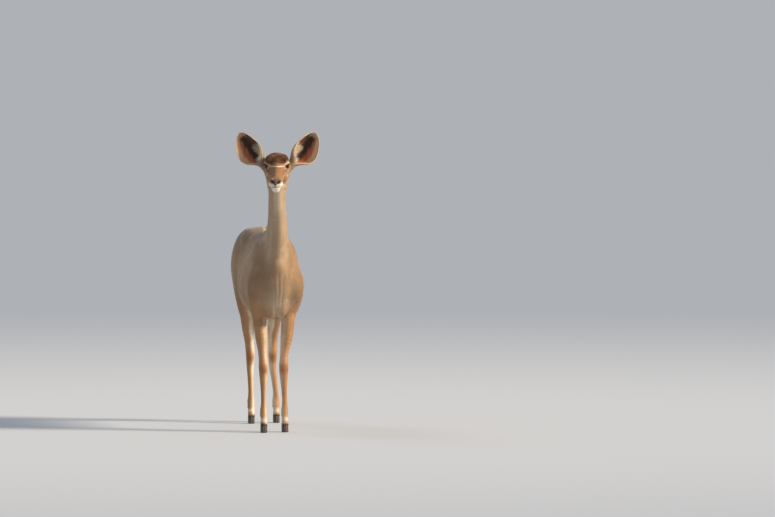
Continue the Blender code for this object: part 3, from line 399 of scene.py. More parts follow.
def eye_lids():
    """The swelling of the lids, then the almond slit cut through them."""
    forms = []
    for s in SIDES.values():
        centre = Vector((EYE.x * s, EYE.y, EYE.z))
        look = Vector((EYE_LOOK.x * s, EYE_LOOK.y, EYE_LOOK.z))
        yaw = math.degrees(math.atan2(look.x, -look.y))
        slit = ball((0, 0, 0), (SLIT_HALF_LENGTH, 0.016, SLIT_HALF_HEIGHT), roll=SLIT_SLOPE * s)
        turn = Matrix.Translation(centre + look * EYE_RADIUS) @ Matrix.Rotation(math.radians(yaw), 4, "Z")
        forms += [
            (ball(centre, (EYE_RADIUS + 0.0034,) * 3), 0.008),
            (placed(slit, turn), -0.003),
        ]
    return forms


def nostrils():
    """A slanting slit on each side of the nose pad, deeper at its inner end."""
    forms = []
    for s in SIDES.values():
        slit = [
            (0.0110 * s, -0.218, 0.0010, 0.0042, 0.0046),
            (0.0175 * s, -0.213, 0.0105, 0.0048, 0.0050),
            (0.0280 * s, -0.204, 0.0140, 0.0034, 0.0036),
        ]
        forms.append((tube(slit, 3), -0.003))
    return forms


def ear_matrix(side):
    """The ear's frame: Z from root to tip, X to the outer edge, Y to the back of the ear."""
    s = SIDES[side]
    along = Vector((EAR_LEAN[0] * s, EAR_LEAN[1], EAR_LEAN[2])).normalized()
    back = Vector((-EAR_OUTWARD * s, 1.0, 0.0))
    back = (back - along * back.dot(along)).normalized()
    across = back.cross(along) * s
    columns = Matrix((across, back, along)).transposed().to_4x4()
    base = Matrix.Translation(HEAD_ORIGIN) @ Matrix.Rotation(HEAD_YAW, 4, "Z")
    return base @ Matrix.Translation((EAR_ROOT[0] * s, EAR_ROOT[1], EAR_ROOT[2])) @ columns


def ear_mounds():
    """The stub on the head that each ear stands on."""
    forms = []
    for side in SIDES:
        matrix = ear_matrix(side)
        low, high = matrix @ Vector((-0.002, 0, -0.036)), matrix @ Vector((0.000, 0, 0.014))
        forms.append((tube([(*low, 0.026, 0.028), (*high, 0.0215, 0.0215)], 2), 0.020))
    return forms


def lip_line(x, y):
    """The height at which the lips meet, a little higher in the middle."""
    return MOUTH_HEIGHT + 0.05 * (y + 0.200) + 0.004 * np.cos(np.clip(x / 0.022, -1, 1) * math.pi / 2)


def mouth_line(points, value):
    """A crease along the lips, fading out at the corners."""
    x, y, z = points.T
    depth = 0.0055 * np.clip((MOUTH_CORNER - y) / 0.012, 0, 1)
    return value + depth * np.exp(-(((z - lip_line(x, y)) / 0.0021) ** 2))


def blended(value, other, blend):
    """The two values joined with a soft seam, or the other carved away where blend is below zero."""
    if blend < 0:
        return -blended(-value, other, -blend)
    near = np.maximum(blend - np.abs(value - other), 0) / blend
    return np.minimum(value, other) - near * near * blend / 4


def field(points, forms):
    """The blend of all forms at the points, in metres, negative inside."""
    value = np.full(len(points), FAR)
    for form, blend in forms:
        pad = REACH + abs(blend)
        near = np.all((points > form.low - pad) & (points < form.high + pad), axis=1)
        if near.any():
            value[near] = blended(value[near], form.distance(points[near]), blend)
    return value


def head_forms():
    matrix = head_matrix()
    parts = skull() + face() + eye_lids() + nostrils()
    return [(placed(form, matrix), blend) for form, blend in parts] + ear_mounds()


def animal(points):
    """The whole animal's field, with the crease of the mouth."""
    value = field(points, ALL_FORMS)
    local = to_head(points)
    at_mouth = np.all(np.abs(local - (0, -0.19, -0.03)) < (0.06, 0.08, 0.05), axis=1)
    value[at_mouth] = mouth_line(local[at_mouth], value[at_mouth])
    return value


# Sampling and meshing the blend


def sampled(low, high, step):
    """The field on a grid of points, worked out only in blocks near the surface, closed at the sides."""
    low, high = np.array(low, float), np.array(high, float)
    blocks = np.ceil((high - low) / (step * BLOCK)).astype(int)
    centres = np.stack(np.meshgrid(*[np.arange(n) + 0.5 for n in blocks], indexing="ij"), axis=-1)
    rough = skin_value((low + centres.reshape(-1, 3) * step * BLOCK)).reshape(blocks)
    near = np.abs(rough) < step * BLOCK * 1.3
    grid = np.where(rough < 0, -FAR, FAR)
    for axis in range(3):
        near, grid = np.repeat(near, BLOCK, axis), np.repeat(grid, BLOCK, axis)
    index = np.argwhere(near)
    grid[near] = skin_value(low + (index + 0.5) * step)
    for axis in range(3):
        ends = np.moveaxis(grid, axis, 0)
        ends[0] = ends[-1] = FAR
    return grid, low + 0.5 * step


def unpinched(grid):
    """The grid with no square of four points whose inside corners meet only across its diagonal."""
    for _ in range(20):
        inside = grid < 0
        pinched = 0
        for axis in range(3):
            flat, value = np.moveaxis(inside, axis, 0), np.moveaxis(grid, axis, 0)
            a, b, c, d = flat[:, :-1, :-1], flat[:, 1:, :-1], flat[:, :-1, 1:], flat[:, 1:, 1:]
            first, second = a & d & ~b & ~c, b & c & ~a & ~d
            value[:, 1:, :-1][first] = -1e-6
            value[:, :-1, :-1][second] = -1e-6
            pinched += first.sum() + second.sum()
        if not pinched:
            break
    return grid


def surface(grid, origin, step):
    """Points and four-sided faces of the grid's zero surface: one point in each cell that it crosses."""
    inside = unpinched(grid) < 0
    counts = np.zeros(np.array(grid.shape) - 1, np.int8)
    corners = [(i, j, k) for i in (0, 1) for j in (0, 1) for k in (0, 1)]
    nx, ny, nz = counts.shape
    for i, j, k in corners:
        counts += inside[i : i + nx, j : j + ny, k : k + nz]
    cells = np.argwhere((counts > 0) & (counts < 8))
    total, crossed = np.zeros((len(cells), 3)), np.zeros(len(cells))
    for a in corners:
        for axis in range(3):
            if a[axis]:
                continue
            b = list(a)
            b[axis] = 1
            va, vb = grid[tuple((cells + a).T)], grid[tuple((cells + b).T)]
            hit = (va < 0) != (vb < 0)
            t = va[hit] / (va[hit] - vb[hit])
            spot = np.tile(np.array(a, float), (hit.sum(), 1))
            spot[:, axis] = t
            total[hit] += spot
            crossed[hit] += 1
    points = origin + (cells + total / crossed[:, None]) * step
    number = np.full(counts.shape, -1, np.int64)
    number[tuple(cells.T)] = np.arange(len(cells))
    faces = []
    for axis in range(3):
        u, v = (axis + 1) % 3, (axis + 2) % 3
        first = np.moveaxis(inside, axis, 0)
        edge = np.argwhere(np.moveaxis(first[:-1] != first[1:], 0, axis))
        edge = edge[(edge[:, u] > 0) & (edge[:, v] > 0)]
        down_u, down_v = np.eye(3, dtype=int)[u], np.eye(3, dtype=int)[v]
        quad = [edge, edge - down_u, edge - down_u - down_v, edge - down_v]
        quad = np.column_stack([number[tuple(q.T)] for q in quad])
        turned = ~inside[tuple(edge.T)]
        quad[turned] = quad[turned][:, ::-1]
        faces.append(quad)
    return points, np.concatenate(faces)


def settled(points, rounds=2):
    """The points moved onto the true surface along its slope."""
    probe = 0.0005
    for _ in range(rounds):
        value = skin_value(points)
        slope = np.column_stack([skin_value(points + probe * axis) - value for axis in np.eye(3)]) / probe
        steep = np.maximum((slope**2).sum(1), 0.25)
        points = points - slope * np.clip(value / steep, -0.002, 0.002)[:, None]
    return points


EAR_ROWS = [
    (0.00, 0.0205, 0.0000, 0.0205, 0.92),
    (0.10, 0.0230, 0.0020, 0.0235, 0.88),
    (0.20, 0.0360, 0.0080, 0.0330, 0.74),
    (0.31, 0.0590, 0.0175, 0.0430, 0.61),
    (0.44, 0.0720, 0.0225, 0.0470, 0.54),
    (0.57, 0.0715, 0.0220, 0.0450, 0.50),
    (0.70, 0.0620, 0.0200, 0.0390, 0.50),
    (0.82, 0.0490, 0.0160, 0.0290, 0.50),
    (0.91, 0.0345, 0.0120, 0.0180, 0.50),
    (0.97, 0.0200, 0.0080, 0.0100, 0.50),
    (1.00, 0.0050, 0.0045, 0.0025, 0.50),
]


def ear_sheet(rows, columns, start):
    """Points of the ear's back, from root to tip and from inner to outer edge, in the ear's frame."""
    share = np.linspace(start, 1.0, rows)
    half, middle, deep, curl = smooth_curve(EAR_ROWS, share).T[:, :, None]
    turn = np.linspace(-1.0, 1.0, columns)[None, :] * curl * math.pi
    height = np.broadcast_to(share[:, None] * EAR_LENGTH, turn.shape)
    return np.stack([middle + half * np.sin(turn), deep * np.cos(turn), height], axis=-1)


def eye_centre(side):
    return head_matrix() @ Vector((EYE.x * SIDES[side], EYE.y, EYE.z))


# Rings of a claw from the sole up: (toe, heel, half width, height at the toe, height at the heel)
CLAW = [
    (-0.0410, 0.0230, 0.0090, 0.0000, 0.0000),
    (-0.0430, 0.0250, 0.0104, 0.0050, 0.0040),
    (-0.0320, 0.0265, 0.0108, 0.0220, 0.0160),
    (-0.0180, 0.0260, 0.0104, CORONET_HEIGHT, 0.0300),
]
CLAW_APART = 0.0114
CLEFT = 0.0008


# Where things lie on the body

CHEST_FOLDS = [(-0.030, -0.006), (0.004, 0.006), (0.034, 0.020)]
CHEEK_SPOTS = [(-0.036, -0.030, 0.0075), (-0.062, -0.036, 0.0060), (-0.012, -0.044, 0.0060)]
BAR_HEIGHT = 0.0105
STRIPES = [-0.205, -0.105, -0.010, 0.085, 0.175, 0.265, 0.350, 0.440]
WAVES = np.random.default_rng(5).normal(size=(14, 4))


def ramp(value, low, high):
    """0 at low and beyond, 1 at high and beyond, and smooth between them."""
    t = np.clip((value - low) / (high - low), 0, 1)
    return t * t * (3 - 2 * t)


def ridge(value, centre, width):
    """1 on a line, fading to 0 about a width away from it."""
    return np.exp(-(((value - centre) / width) ** 2))


def waver(points, scale, seed=0):
    """Slow irregular waves over space, about -1 to 1, for edges that wander as real markings do."""
    total = np.zeros(len(points))
    for k, row in enumerate(WAVES[seed : seed + 7]):
        total += np.sin(points @ row[:3] * scale + 2.3 * k + 5 * row[3])
    return total / 3.2


def to_head(points):
    """The points in the head's own frame."""
    back = np.array(head_matrix().inverted(), float)
    return points @ back[:3, :3].T + back[:3, 3]


def on_head(points):
    """1 on the head, 0 behind the line of the jaw and the poll."""
    return ramp((points[:, 1] + 0.600) * -0.815 + (points[:, 2] - 1.690) * 0.579, -0.030, 0.020)


def on_neck(points):
    high = ramp(points[:, 2] + 0.70 * (points[:, 1] + 0.45), 1.06, 1.20)
    return high * ramp(points[:, 1], -0.24, -0.36) * (1 - on_head(points))


def on_legs(points):
    return ramp(points[:, 2], 0.72, 0.62)


def on_tail(points):
    x, y, z = points.T
    return ramp(y, 0.628, 0.646) * ramp(np.abs(x), 0.050, 0.036) * ramp(z, 1.150, 1.125)


def coronet_line(from_foot):
    """The height at which the claws begin, at a distance behind the middle of the foot."""
    toe, heel, _, front, back = CLAW[-1]
    return front + (back - front) * (from_foot - toe) / (heel - toe)


def coat_depth(points):
    """How far the coat stands over the skin."""
    along = to_head(points)[:, 1]
    head = on_head(points)
    body = 0.0042 + (0.0017 - 0.0042) * ramp(points[:, 2], 0.70, 0.50)
    face = (0.0007 + 0.0022 * ramp(along, -0.130, 0.060)) * (1 - 0.6 * by_ear(points)[0])
    return body + (face - body) * head


def skin_value(points):
    """The skin's field: the animal's, lowered by the coat, creased at the breast and ended at the claws."""
    value = animal(points) + coat_depth(points)
    x, y, z = points.T
    for top, bottom in CHEST_FOLDS:
        centre = bottom + (top - bottom) * (z - 0.70) / 0.24
        shown = ramp(z, 0.68, 0.74) * ramp(z, 1.00, 0.90) * ramp(y, -0.50, -0.53)
        value = value + 0.0030 * shown * ridge(x, centre, 0.0045)
    for foot_x, foot_y in [*FRONT_FEET.values(), *HIND_FEET.values()]:
        near = (np.abs(x - foot_x) < 0.045) & (np.abs(y - foot_y) < 0.07) & (z < 0.09)
        value[near] = np.maximum(value[near], coronet_line(y[near] - foot_y) - z[near])
    return value


# The skin: coarse on the body, fine on the head and lower legs, and stitched into one


def skin_mesh(low, high, step, finer=False, even=0):
    """The skin inside a box as a bmesh, split once more where it is to be finer, then evened out."""
    grid, origin = sampled(low, high, step)
    points, faces = surface(grid, origin, step)
    mesh = bpy.data.meshes.new("skin_part")
    mesh.from_pydata(points, [], faces.tolist())
    work = bmesh.new()
    work.from_mesh(mesh)
    bpy.data.meshes.remove(mesh)
    if finer:
        settle(work, low, high, step)
        bmesh.ops.subdivide_edges(work, edges=work.edges[:], cuts=1, use_grid_fill=True)
        step = step / 2
    settle(work, low, high, step)
    plain = [v for v in work.verts if v.co.z > 0.10 and not (v.co.y < -0.48 and 0.66 < v.co.z < 1.02)]
    every_way = {"use_axis_x": True, "use_axis_y": True, "use_axis_z": True}
    for _ in range(even):
        bmesh.ops.smooth_vert(work, verts=plain, factor=0.5, **every_way)
    return work


def settle(work, low, high, step):
    """Moves the points that aren't at the box's open sides onto the skin."""
    points = np.array([vert.co[:] for vert in work.verts])
    inner = np.all((points > np.array(low) + 2.2 * step) & (points < np.array(high) - 2.2 * step), axis=1)
    points[inner] = settled(points[inner])
    for vert, point in zip(work.verts, points):
        vert.co = point


def kept_side(work, height, above):
    """Cuts the mesh level at a height and keeps the side above it or below it."""
    bmesh.ops.bisect_plane(
        work,
        geom=work.verts[:] + work.edges[:] + work.faces[:],
        plane_co=(0, 0, height),
        plane_no=(0, 0, 1),
        clear_inner=above,
        clear_outer=not above,
    )


def add_to(whole, part):
    """Adds one bmesh to another."""
    mesh = bpy.data.meshes.new("moved")
    part.to_mesh(mesh)
    part.free()
    whole.from_mesh(mesh)
    bpy.data.meshes.remove(mesh)


def open_loops(work):
    """The mesh's open edges, as loops of edges, each with its middle point."""
    left = {edge for edge in work.edges if edge.is_boundary}
    loops = []
    while left:
        stack, loop = [left.pop()], []
        while stack:
            edge = stack.pop()
            loop.append(edge)
            for vert in edge.verts:
                for other in vert.link_edges:
                    if other in left:
                        left.discard(other)
                        stack.append(other)
        middle = sum((vert.co for edge in loop for vert in edge.verts), Vector()) / (2 * len(loop))
        loops.append((middle, loop))
    return loops


def whole_skin():
    """Body, head and lower legs as one closed mesh."""
    body = skin_mesh((-0.26, -0.74, 0.570), (0.26, 0.76, 1.465), BODY_STEP, finer=True, even=2)
    kept_side(body, NECK_SEAM - 0.004, above=False)
    kept_side(body, LEG_SEAM + 0.004, above=True)
    head = skin_mesh((-0.17, -1.04, 1.412), (0.13, -0.50, 1.74), HEAD_STEP)
    kept_side(head, NECK_SEAM, above=True)
    add_to(body, head)
    for back, front in ((-0.66, -0.28), (0.32, 0.74)):
        feet = skin_mesh((-0.17, back, 0.010), (0.21, front, 0.630), LEG_STEP, even=4)
        kept_side(feet, LEG_SEAM, above=False)
        add_to(body, feet)
    loops = open_loops(body)
    while loops:
        middle, loop = loops.pop()
        nearest = min(range(len(loops)), key=lambda i: (loops[i][0] - middle).length)
        _, partner = loops.pop(nearest)
        bmesh.ops.bridge_loops(body, edges=loop + partner)
    bmesh.ops.recalc_face_normals(body, faces=body.faces[:])
    bmesh.ops.triangulate(body, faces=body.faces[:])
    return body


# Colours, as light and dark amounts of red, green and blue


def shade(red, green, blue):
    """A colour as seen on a screen, 0 to 255, turned into amounts of light."""
    return np.array([(c / 255) ** 2.2 for c in (red, green, blue)])


FAWN = shade(160, 130, 100)
GREY_FAWN = shade(139, 118, 97)
PALE_FAWN = shade(190, 163, 132)
WARM = shade(182, 138, 97)
RUST = shade(158, 98, 58)
CREAM = shade(226, 209, 182)
WHITE = shade(236, 228, 212)
BROWN = shade(116, 80, 56)
CROWN_BROWN = shade(108, 68, 44)
DARK = shade(52, 40, 34)
BLACK = shade(22, 18, 17)
PAD = shade(112, 88, 75)


def mixed(base, colour, share):
    return base + (colour - base) * np.clip(share, 0, 1)[:, None]


def coat_colour(points, normals):
    """The colour of coat and skin at each place: the same for both."""
    x, y, z = points.T
    wander = waver(points, 9.0)
    fine = waver(points, 42.0, 6)
    colour = np.tile(FAWN, (len(points), 1))
    behind = ramp(y, -0.48, -0.28)
    colour = mixed(colour, GREY_FAWN, ramp(z + 0.04 * wander, 0.98, 1.16) * 0.85 * behind)
    colour = mixed(colour, WARM, ramp(z + 0.03 * wander, 0.90, 0.66) * 0.7)
    wide = 0.060 + 1.1 * np.maximum(z - 1.14, 0.0)
    breast = (1 - behind) * ramp(z, 0.88, 1.12) * ramp(np.abs(x), wide + 0.030, wide - 0.015)
    colour = mixed(colour, PALE_FAWN, 0.9 * breast)
    colour = mixed(colour, BROWN, 0.16 * ramp(wander, 0.1, 0.9))
    colour = body_marks(colour, points, normals, wander, fine)
    colour = mixed(colour, head_colour(points, normals, fine), on_head(points))
    colour = mixed(colour, tail_colour(points, normals), on_tail(points))
    return colour * (1 + 0.05 * fine + 0.04 * wander)[:, None]


def body_marks(colour, points, normals, wander, fine):
    """Stripes and spine line, brown nape, cream throat, brisket and belly, and the marks of the legs."""
    x, y, z = points.T
    side = np.abs(x)
    trunk = ramp(y, -0.30, -0.22) * ramp(y, 0.60, 0.54) * ramp(normals[:, 1], 0.75, 0.35)
    for k, place in enumerate(STRIPES):
        slant = 0.10 * (z - 0.95) + 0.030 * np.sin(3.0 * (z - 0.7) + 1.7 * k)
        lowest = 0.80 + 0.03 * math.sin(2.1 * k)
        shown = ramp(z, lowest - 0.04, lowest + 0.06) * ramp(side, 0.012, 0.04) * (0.72 + 0.28 * wander)
        line = ridge(y, place + slant + 0.006 * wander, 0.0050 + 0.0010 * math.sin(1.3 * k))
        colour = mixed(colour, CREAM, 0.72 * line * shown * trunk)
    spine = ramp(normals[:, 2], 0.80, 0.95) * ridge(x, 0.0, 0.010) * ramp(y, -0.05, 0.15)
    colour = mixed(colour, CREAM, 0.55 * spine * ramp(z, 0.9, 1.1))
    nape = on_neck(points) * ramp(normals[:, 1], 0.35, 0.9)
    colour = mixed(colour, BROWN, 0.55 * nape)
    throat = on_neck(points) * ramp(normals[:, 1], -0.45, -0.95) * ramp(z, 1.15, 1.48)
    colour = mixed(colour, CREAM, 0.60 * throat)
    brisket = ramp(z, 0.98, 0.74) * ramp(y, -0.47, -0.53) * ridge(x, 0.0, 0.075)
    colour = mixed(colour, CREAM, 0.50 * brisket)
    belly = ramp(normals[:, 2], -0.55, -0.92) * ramp(z, 0.90, 0.74) * (1 - on_legs(points))
    colour = mixed(colour, CREAM, 0.40 * belly)
    return leg_marks(colour, points, normals, fine)


def leg_marks(colour, points, normals, fine):
    """Cream inner faces, less cream on the forelegs as painted shade between them, rusty knees and hocks,
    dark fetlocks and a pale patch over each claw.
    """
    x, y, z = points.T
    inward = -normals[:, 0] * np.sign(x)
    low = ramp(z, 0.80, 0.66)
    colour = mixed(colour, WARM, 0.75 * low)
    # The inner faces are really cream; the weaker cream on the forelegs is painted shade between the legs
    inner = ramp(inward + 0.06 * fine, 0.02, 0.55) * (0.95 - 0.35 * ramp(y, -0.05, -0.25))
    colour = mixed(colour, CREAM, low * inner)
    buttock = ramp(y, 0.55, 0.62) * ramp(inward, -0.1, 0.4) * ramp(z, 1.10, 0.95)
    colour = mixed(colour, CREAM, 0.8 * buttock)
    front = ramp(-normals[:, 1] + 0.10 * fine, 0.15, 0.75)
    knee = ridge(z, KNEE_HEIGHT + 0.005, 0.034) * ramp(y, -0.2, -0.3)
    hock = ridge(z, HOCK_HEIGHT - 0.01, 0.036) * ramp(y, 0.3, 0.4)
    colour = mixed(colour, RUST, 0.75 * (knee + hock) * front)
    shank = ramp(z, 0.34, 0.26) * ramp(z, 0.13, 0.18) * ramp(front, 0.2, 0.8)
    colour = mixed(colour, RUST, 0.30 * shank)
    fetlock = ridge(z, FETLOCK_HEIGHT - 0.006 + 0.008 * fine, 0.020)
    colour = mixed(colour, DARK, 0.62 * fetlock * ramp(normals[:, 1], -0.75, 0.2))
    pastern = ridge(z, 0.082 + 0.005 * fine, 0.013) * ramp(-normals[:, 1], -0.1, 0.6)
    colour = mixed(colour, WHITE, 0.75 * pastern)
    return mixed(colour, DARK, 0.80 * ramp(z + 0.004 * fine, 0.062, 0.046))


def tail_colour(points, normals):
    """The tail: greyish and brown above, white at its sides and front, black at its tip."""
    z = points[:, 2]
    colour = np.tile(GREY_FAWN, (len(points), 1))
    colour = mixed(colour, BROWN, 0.45 * ramp(z, 1.10, 0.95))
    colour = mixed(colour, WHITE, ramp(np.abs(normals[:, 0]), 0.35, 0.8) + ramp(-normals[:, 1], 0.1, 0.6))
    return mixed(colour, BLACK, ramp(z, 0.875, 0.835))


def eye_places(local):
    """For points in the head's frame: how far each is from its eye slit, in slit sizes, and which way."""
    side = np.sign(local[:, 0]) + (local[:, 0] == 0)
    look = np.array(EYE_LOOK)
    centre = np.array(EYE) + look * EYE_RADIUS
    off = local * np.column_stack([side, np.ones(len(local)), np.ones(len(local))]) - centre
    yaw = math.atan2(look[0], -look[1])
    along = off[:, 0] * math.cos(yaw) + off[:, 1] * math.sin(yaw)
    up = off[:, 2]
    turn = math.radians(SLIT_SLOPE)
    a, b = along * math.cos(turn) - up * math.sin(turn), along * math.sin(turn) + up * math.cos(turn)
    across = off @ look
    far = np.sqrt((a / SLIT_HALF_LENGTH) ** 2 + (b / SLIT_HALF_HEIGHT) ** 2 + (across / 0.030) ** 2)
    return far, a, b


def head_colour(points, normals, fine):
    """The face: brown forehead and nose, a pale line between the eyes, white lips and chin, pale throat."""
    local = to_head(points)
    turn = np.array(head_matrix().to_3x3(), float)
    facing = normals @ turn
    x, y, z = local.T
    side = np.abs(x)
    colour = np.tile(FAWN, (len(points), 1))
    top = ramp(facing[:, 2] + 0.10 * fine, 0.05, 0.70)
    sides = ramp(facing[:, 2] + 0.10 * fine, -0.65, 0.10) * ramp(y, -0.175, -0.120) * ramp(y, 0.06, 0.0)
    colour = mixed(colour, shade(158, 115, 80), sides * 0.80)
    colour = mixed(colour, shade(134, 92, 62), top * ramp(y, -0.200, -0.120) * 0.85)
    colour = mixed(colour, GREY_FAWN, ramp(y, -0.02, 0.05) * ramp(side, 0.03, 0.05) * 0.6)
    under = ramp(-facing[:, 2] + 0.08 * fine, 0.30, 0.85)
    colour = mixed(colour, CREAM, 0.62 * under)
    crown = ramp(y + 0.006 * fine, -0.040, -0.020) * ramp(z, 0.028, 0.045) * ramp(y, 0.115, 0.080)
    colour = mixed(colour, CROWN_BROWN, 0.90 * crown)
    for spot_y, spot_z, size in CHEEK_SPOTS:
        far = np.sqrt((y - spot_y) ** 2 + (z - spot_z) ** 2)
        colour = mixed(colour, CREAM, 0.65 * ramp(far, size * 1.5, size * 0.7) * ramp(side, 0.03, 0.04))
    level = points[:, 2] - HEAD_ORIGIN.z - BAR_HEIGHT
    bar = ridge(level + 0.0010 * fine, 0.0, 0.0025) * ramp(side, 0.052, 0.044) * ramp(y, -0.030, -0.038)
    colour = mixed(colour, WHITE, 0.90 * bar * (1 - 0.8 * ridge(x, -0.003, 0.0045)))
    far, along, up = eye_places(local)
    ring = ramp(far, 2.45 + 0.9 * ramp(up, 0, 0.01), 1.80) * ramp(far, 1.45, 1.70)
    colour = mixed(colour, shade(214, 184, 148), (0.35 + 0.35 * ramp(up, 0.0, 0.02)) * ring)
    colour = mixed(colour, BLACK, 0.94 * ramp(far, 1.55, 1.33))
    beyond = np.abs(along) - 0.85 * SLIT_HALF_LENGTH
    thick = 0.0056 - np.where(along < 0, 0.34, 0.60) * np.maximum(beyond, 0.0)
    corner = ramp(np.abs(up), thick + 0.001, thick - 0.001) * ramp(beyond, -0.002, 0.0)
    corner = corner * ramp(thick, 0.0, 0.001)
    colour = mixed(colour, BLACK, 0.92 * corner * ramp(far, 3.2, 2.6))
    tear = ridge(z, 0.004 + 0.25 * (y + 0.03), 0.0035) * ramp(y, -0.052, -0.040) * ramp(y, -0.018, -0.028)
    colour = mixed(colour, DARK, 0.75 * tear * ramp(side, 0.03, 0.04))
    smear = ramp(y, -0.135, -0.165) * ramp(z, 0.000, 0.010)
    colour = mixed(colour, BROWN, 0.45 * smear)
    lips = ramp(y + 0.006 * fine, -0.166, -0.180) * ramp(z - 0.10 * (y + 0.19), 0.004, -0.003)
    colour = mixed(colour, WHITE, 0.95 * lips)
    chin = ramp(y + 0.006 * fine, -0.136, -0.158) * ramp(z, MOUTH_HEIGHT, MOUTH_HEIGHT - 0.006)
    colour = mixed(colour, WHITE, 0.90 * chin * ramp(side, 0.027, 0.021))
    groove = ridge(x, 0.0, 0.0032 + 0.2 * np.maximum(z + 0.012, 0)) * ramp(y, -0.196, -0.204)
    groove = groove * ramp(z, MOUTH_HEIGHT - 0.002, MOUTH_HEIGHT + 0.006)
    colour = mixed(colour, shade(92, 70, 56), 0.85 * groove)
    colour = mixed(colour, PAD, bare_pad(local))
    # Painted shade: the crease where the lips meet is painted dark
    crease = ridge(z, lip_line(x, y), 0.0024) * ramp(y, MOUTH_CORNER + 0.010, MOUTH_CORNER - 0.006)
    colour = mixed(colour, DARK, 0.92 * crease)
    # Painted shade: the inside of each nostril is painted black as the shade of its hole
    return mixed(colour, BLACK, nostril_share(local))


def bare_pad(local):
    """The hairless skin between and round the nostrils."""
    x, y, z = local.T
    half = 0.009 + 0.020 * ramp(z, -0.008, 0.010) - 0.012 * ramp(z, 0.010, 0.020)
    wide = ramp(np.abs(x), half + 0.002, half - 0.002)
    return ramp(y, -0.188, -0.198) * wide * ramp(z, -0.012, -0.008) * ramp(z, 0.022, 0.017)


def nostril_share(local):
    """1 inside a nostril, fading out at its rim."""
    across = np.abs(local[:, 0]) - 0.0185
    off = np.column_stack([across, local[:, 1] + 0.2110, local[:, 2] - 0.0080 - 0.55 * across])
    return ramp(np.sqrt((off / (0.0100, 0.0110, 0.0058)) ** 2 @ np.ones(3)), 1.20, 0.80)


def bareness(points):
    """1 where no hair grows: eye slits, nostrils, nose pad and the crease of the mouth."""
    local = to_head(points)
    head = on_head(points)
    far, _, _ = eye_places(local)
    mouth = MOUTH_HEIGHT + 0.05 * (local[:, 1] + 0.200)
    crease = ridge(local[:, 2], mouth, 0.003) * ramp(local[:, 1], MOUTH_CORNER, MOUTH_CORNER - 0.01)
    bare = np.maximum.reduce([ramp(far, 1.30, 1.20), bare_pad(local), nostril_share(local), crease])
    return bare * head


def by_ear(points):
    """1 on the stub below each ear, and the directions of the ears there."""
    near = np.zeros(len(points))
    along = np.zeros((len(points), 3))
    for side in SIDES:
        matrix = ear_matrix(side)
        back = np.array(matrix.inverted(), float)
        local = points @ back[:3, :3].T + back[:3, 3]
        far = np.hypot(local[:, 0], local[:, 1])
        share = ramp(local[:, 2], -0.030, -0.012) * ramp(local[:, 2], 0.05, 0.03) * ramp(far, 0.040, 0.030)
        near = np.maximum(near, share)
        along[share > 0] = np.array(matrix.to_3x3(), float)[:, 2]
    return near, along


# The way the coat lies and how long it is


def lie(points, normals):
    """The direction of the hair: from nose to tail, down the neck and breast, and down the legs."""
    y, z = points[:, 1], points[:, 2]
    way = np.tile((0.0, 1.0, -0.42), (len(points), 1))
    way[:, 2] -= 0.25 * ramp(z, 0.95, 0.80)
    bends = [
        (on_neck(points), (0.0, 0.42, -1.0)),
        (ramp(y, -0.42, -0.50) * ramp(z, 1.15, 1.0), (0.0, 0.15, -1.0)),
        (ramp(z, 0.86, 0.70) * ramp(np.abs(y - 0.05), 0.22, 0.34), (0.0, 0.12, -1.0)),
        (ramp(y, 0.50, 0.60), (0.0, 0.25, -1.0)),
        (on_tail(points), (0.0, 0.05, -1.0)),
    ]
    for share, down in bends:
        way += share[:, None] * (np.array(down) - way)
    turn = np.array(head_matrix().to_3x3(), float)
    along = turn @ np.array((0.0, 1.0, 0.05))
    way += on_head(points)[:, None] * (along - way)
    near, ear_way = by_ear(points)
    way += near[:, None] * (ear_way - way)
    way += 0.22 * np.column_stack([waver(points, 14.0, k) for k in (1, 3, 5)])
    way -= normals * (way * normals).sum(1)[:, None]
    return way / np.maximum(np.linalg.norm(way, axis=1), 1e-6)[:, None]


def hair_length(points):
    """How long the coat's tufts are: short on face and legs."""
    z = points[:, 2]
    length = 0.0165 - 0.0090 * ramp(z, 0.72, 0.42) - 0.004 * on_neck(points)
    local = to_head(points)
    far, _, _ = eye_places(local)
    face = (0.0032 + 0.0070 * ramp(local[:, 1], -0.15, 0.06)) * (0.30 + 0.70 * ramp(far, 1.4, 3.0))
    face += 0.001 * by_ear(points)[0]
    return length + (face - length) * on_head(points)


def spacing(points):
    """How far apart tufts stand."""
    z = points[:, 2]
    apart = 0.0035 - 0.0009 * ramp(z, 0.70, 0.50) - 0.0005 * on_neck(points)
    local = to_head(points)
    far, _, _ = eye_places(local)
    face = (0.0019 + 0.0009 * ramp(local[:, 1], -0.13, 0.05)) * (0.72 + 0.28 * ramp(far, 1.6, 2.8))
    return apart + (face - apart) * on_head(points)


# Meshes from arrays

MOST_TRIANGLES = 190000


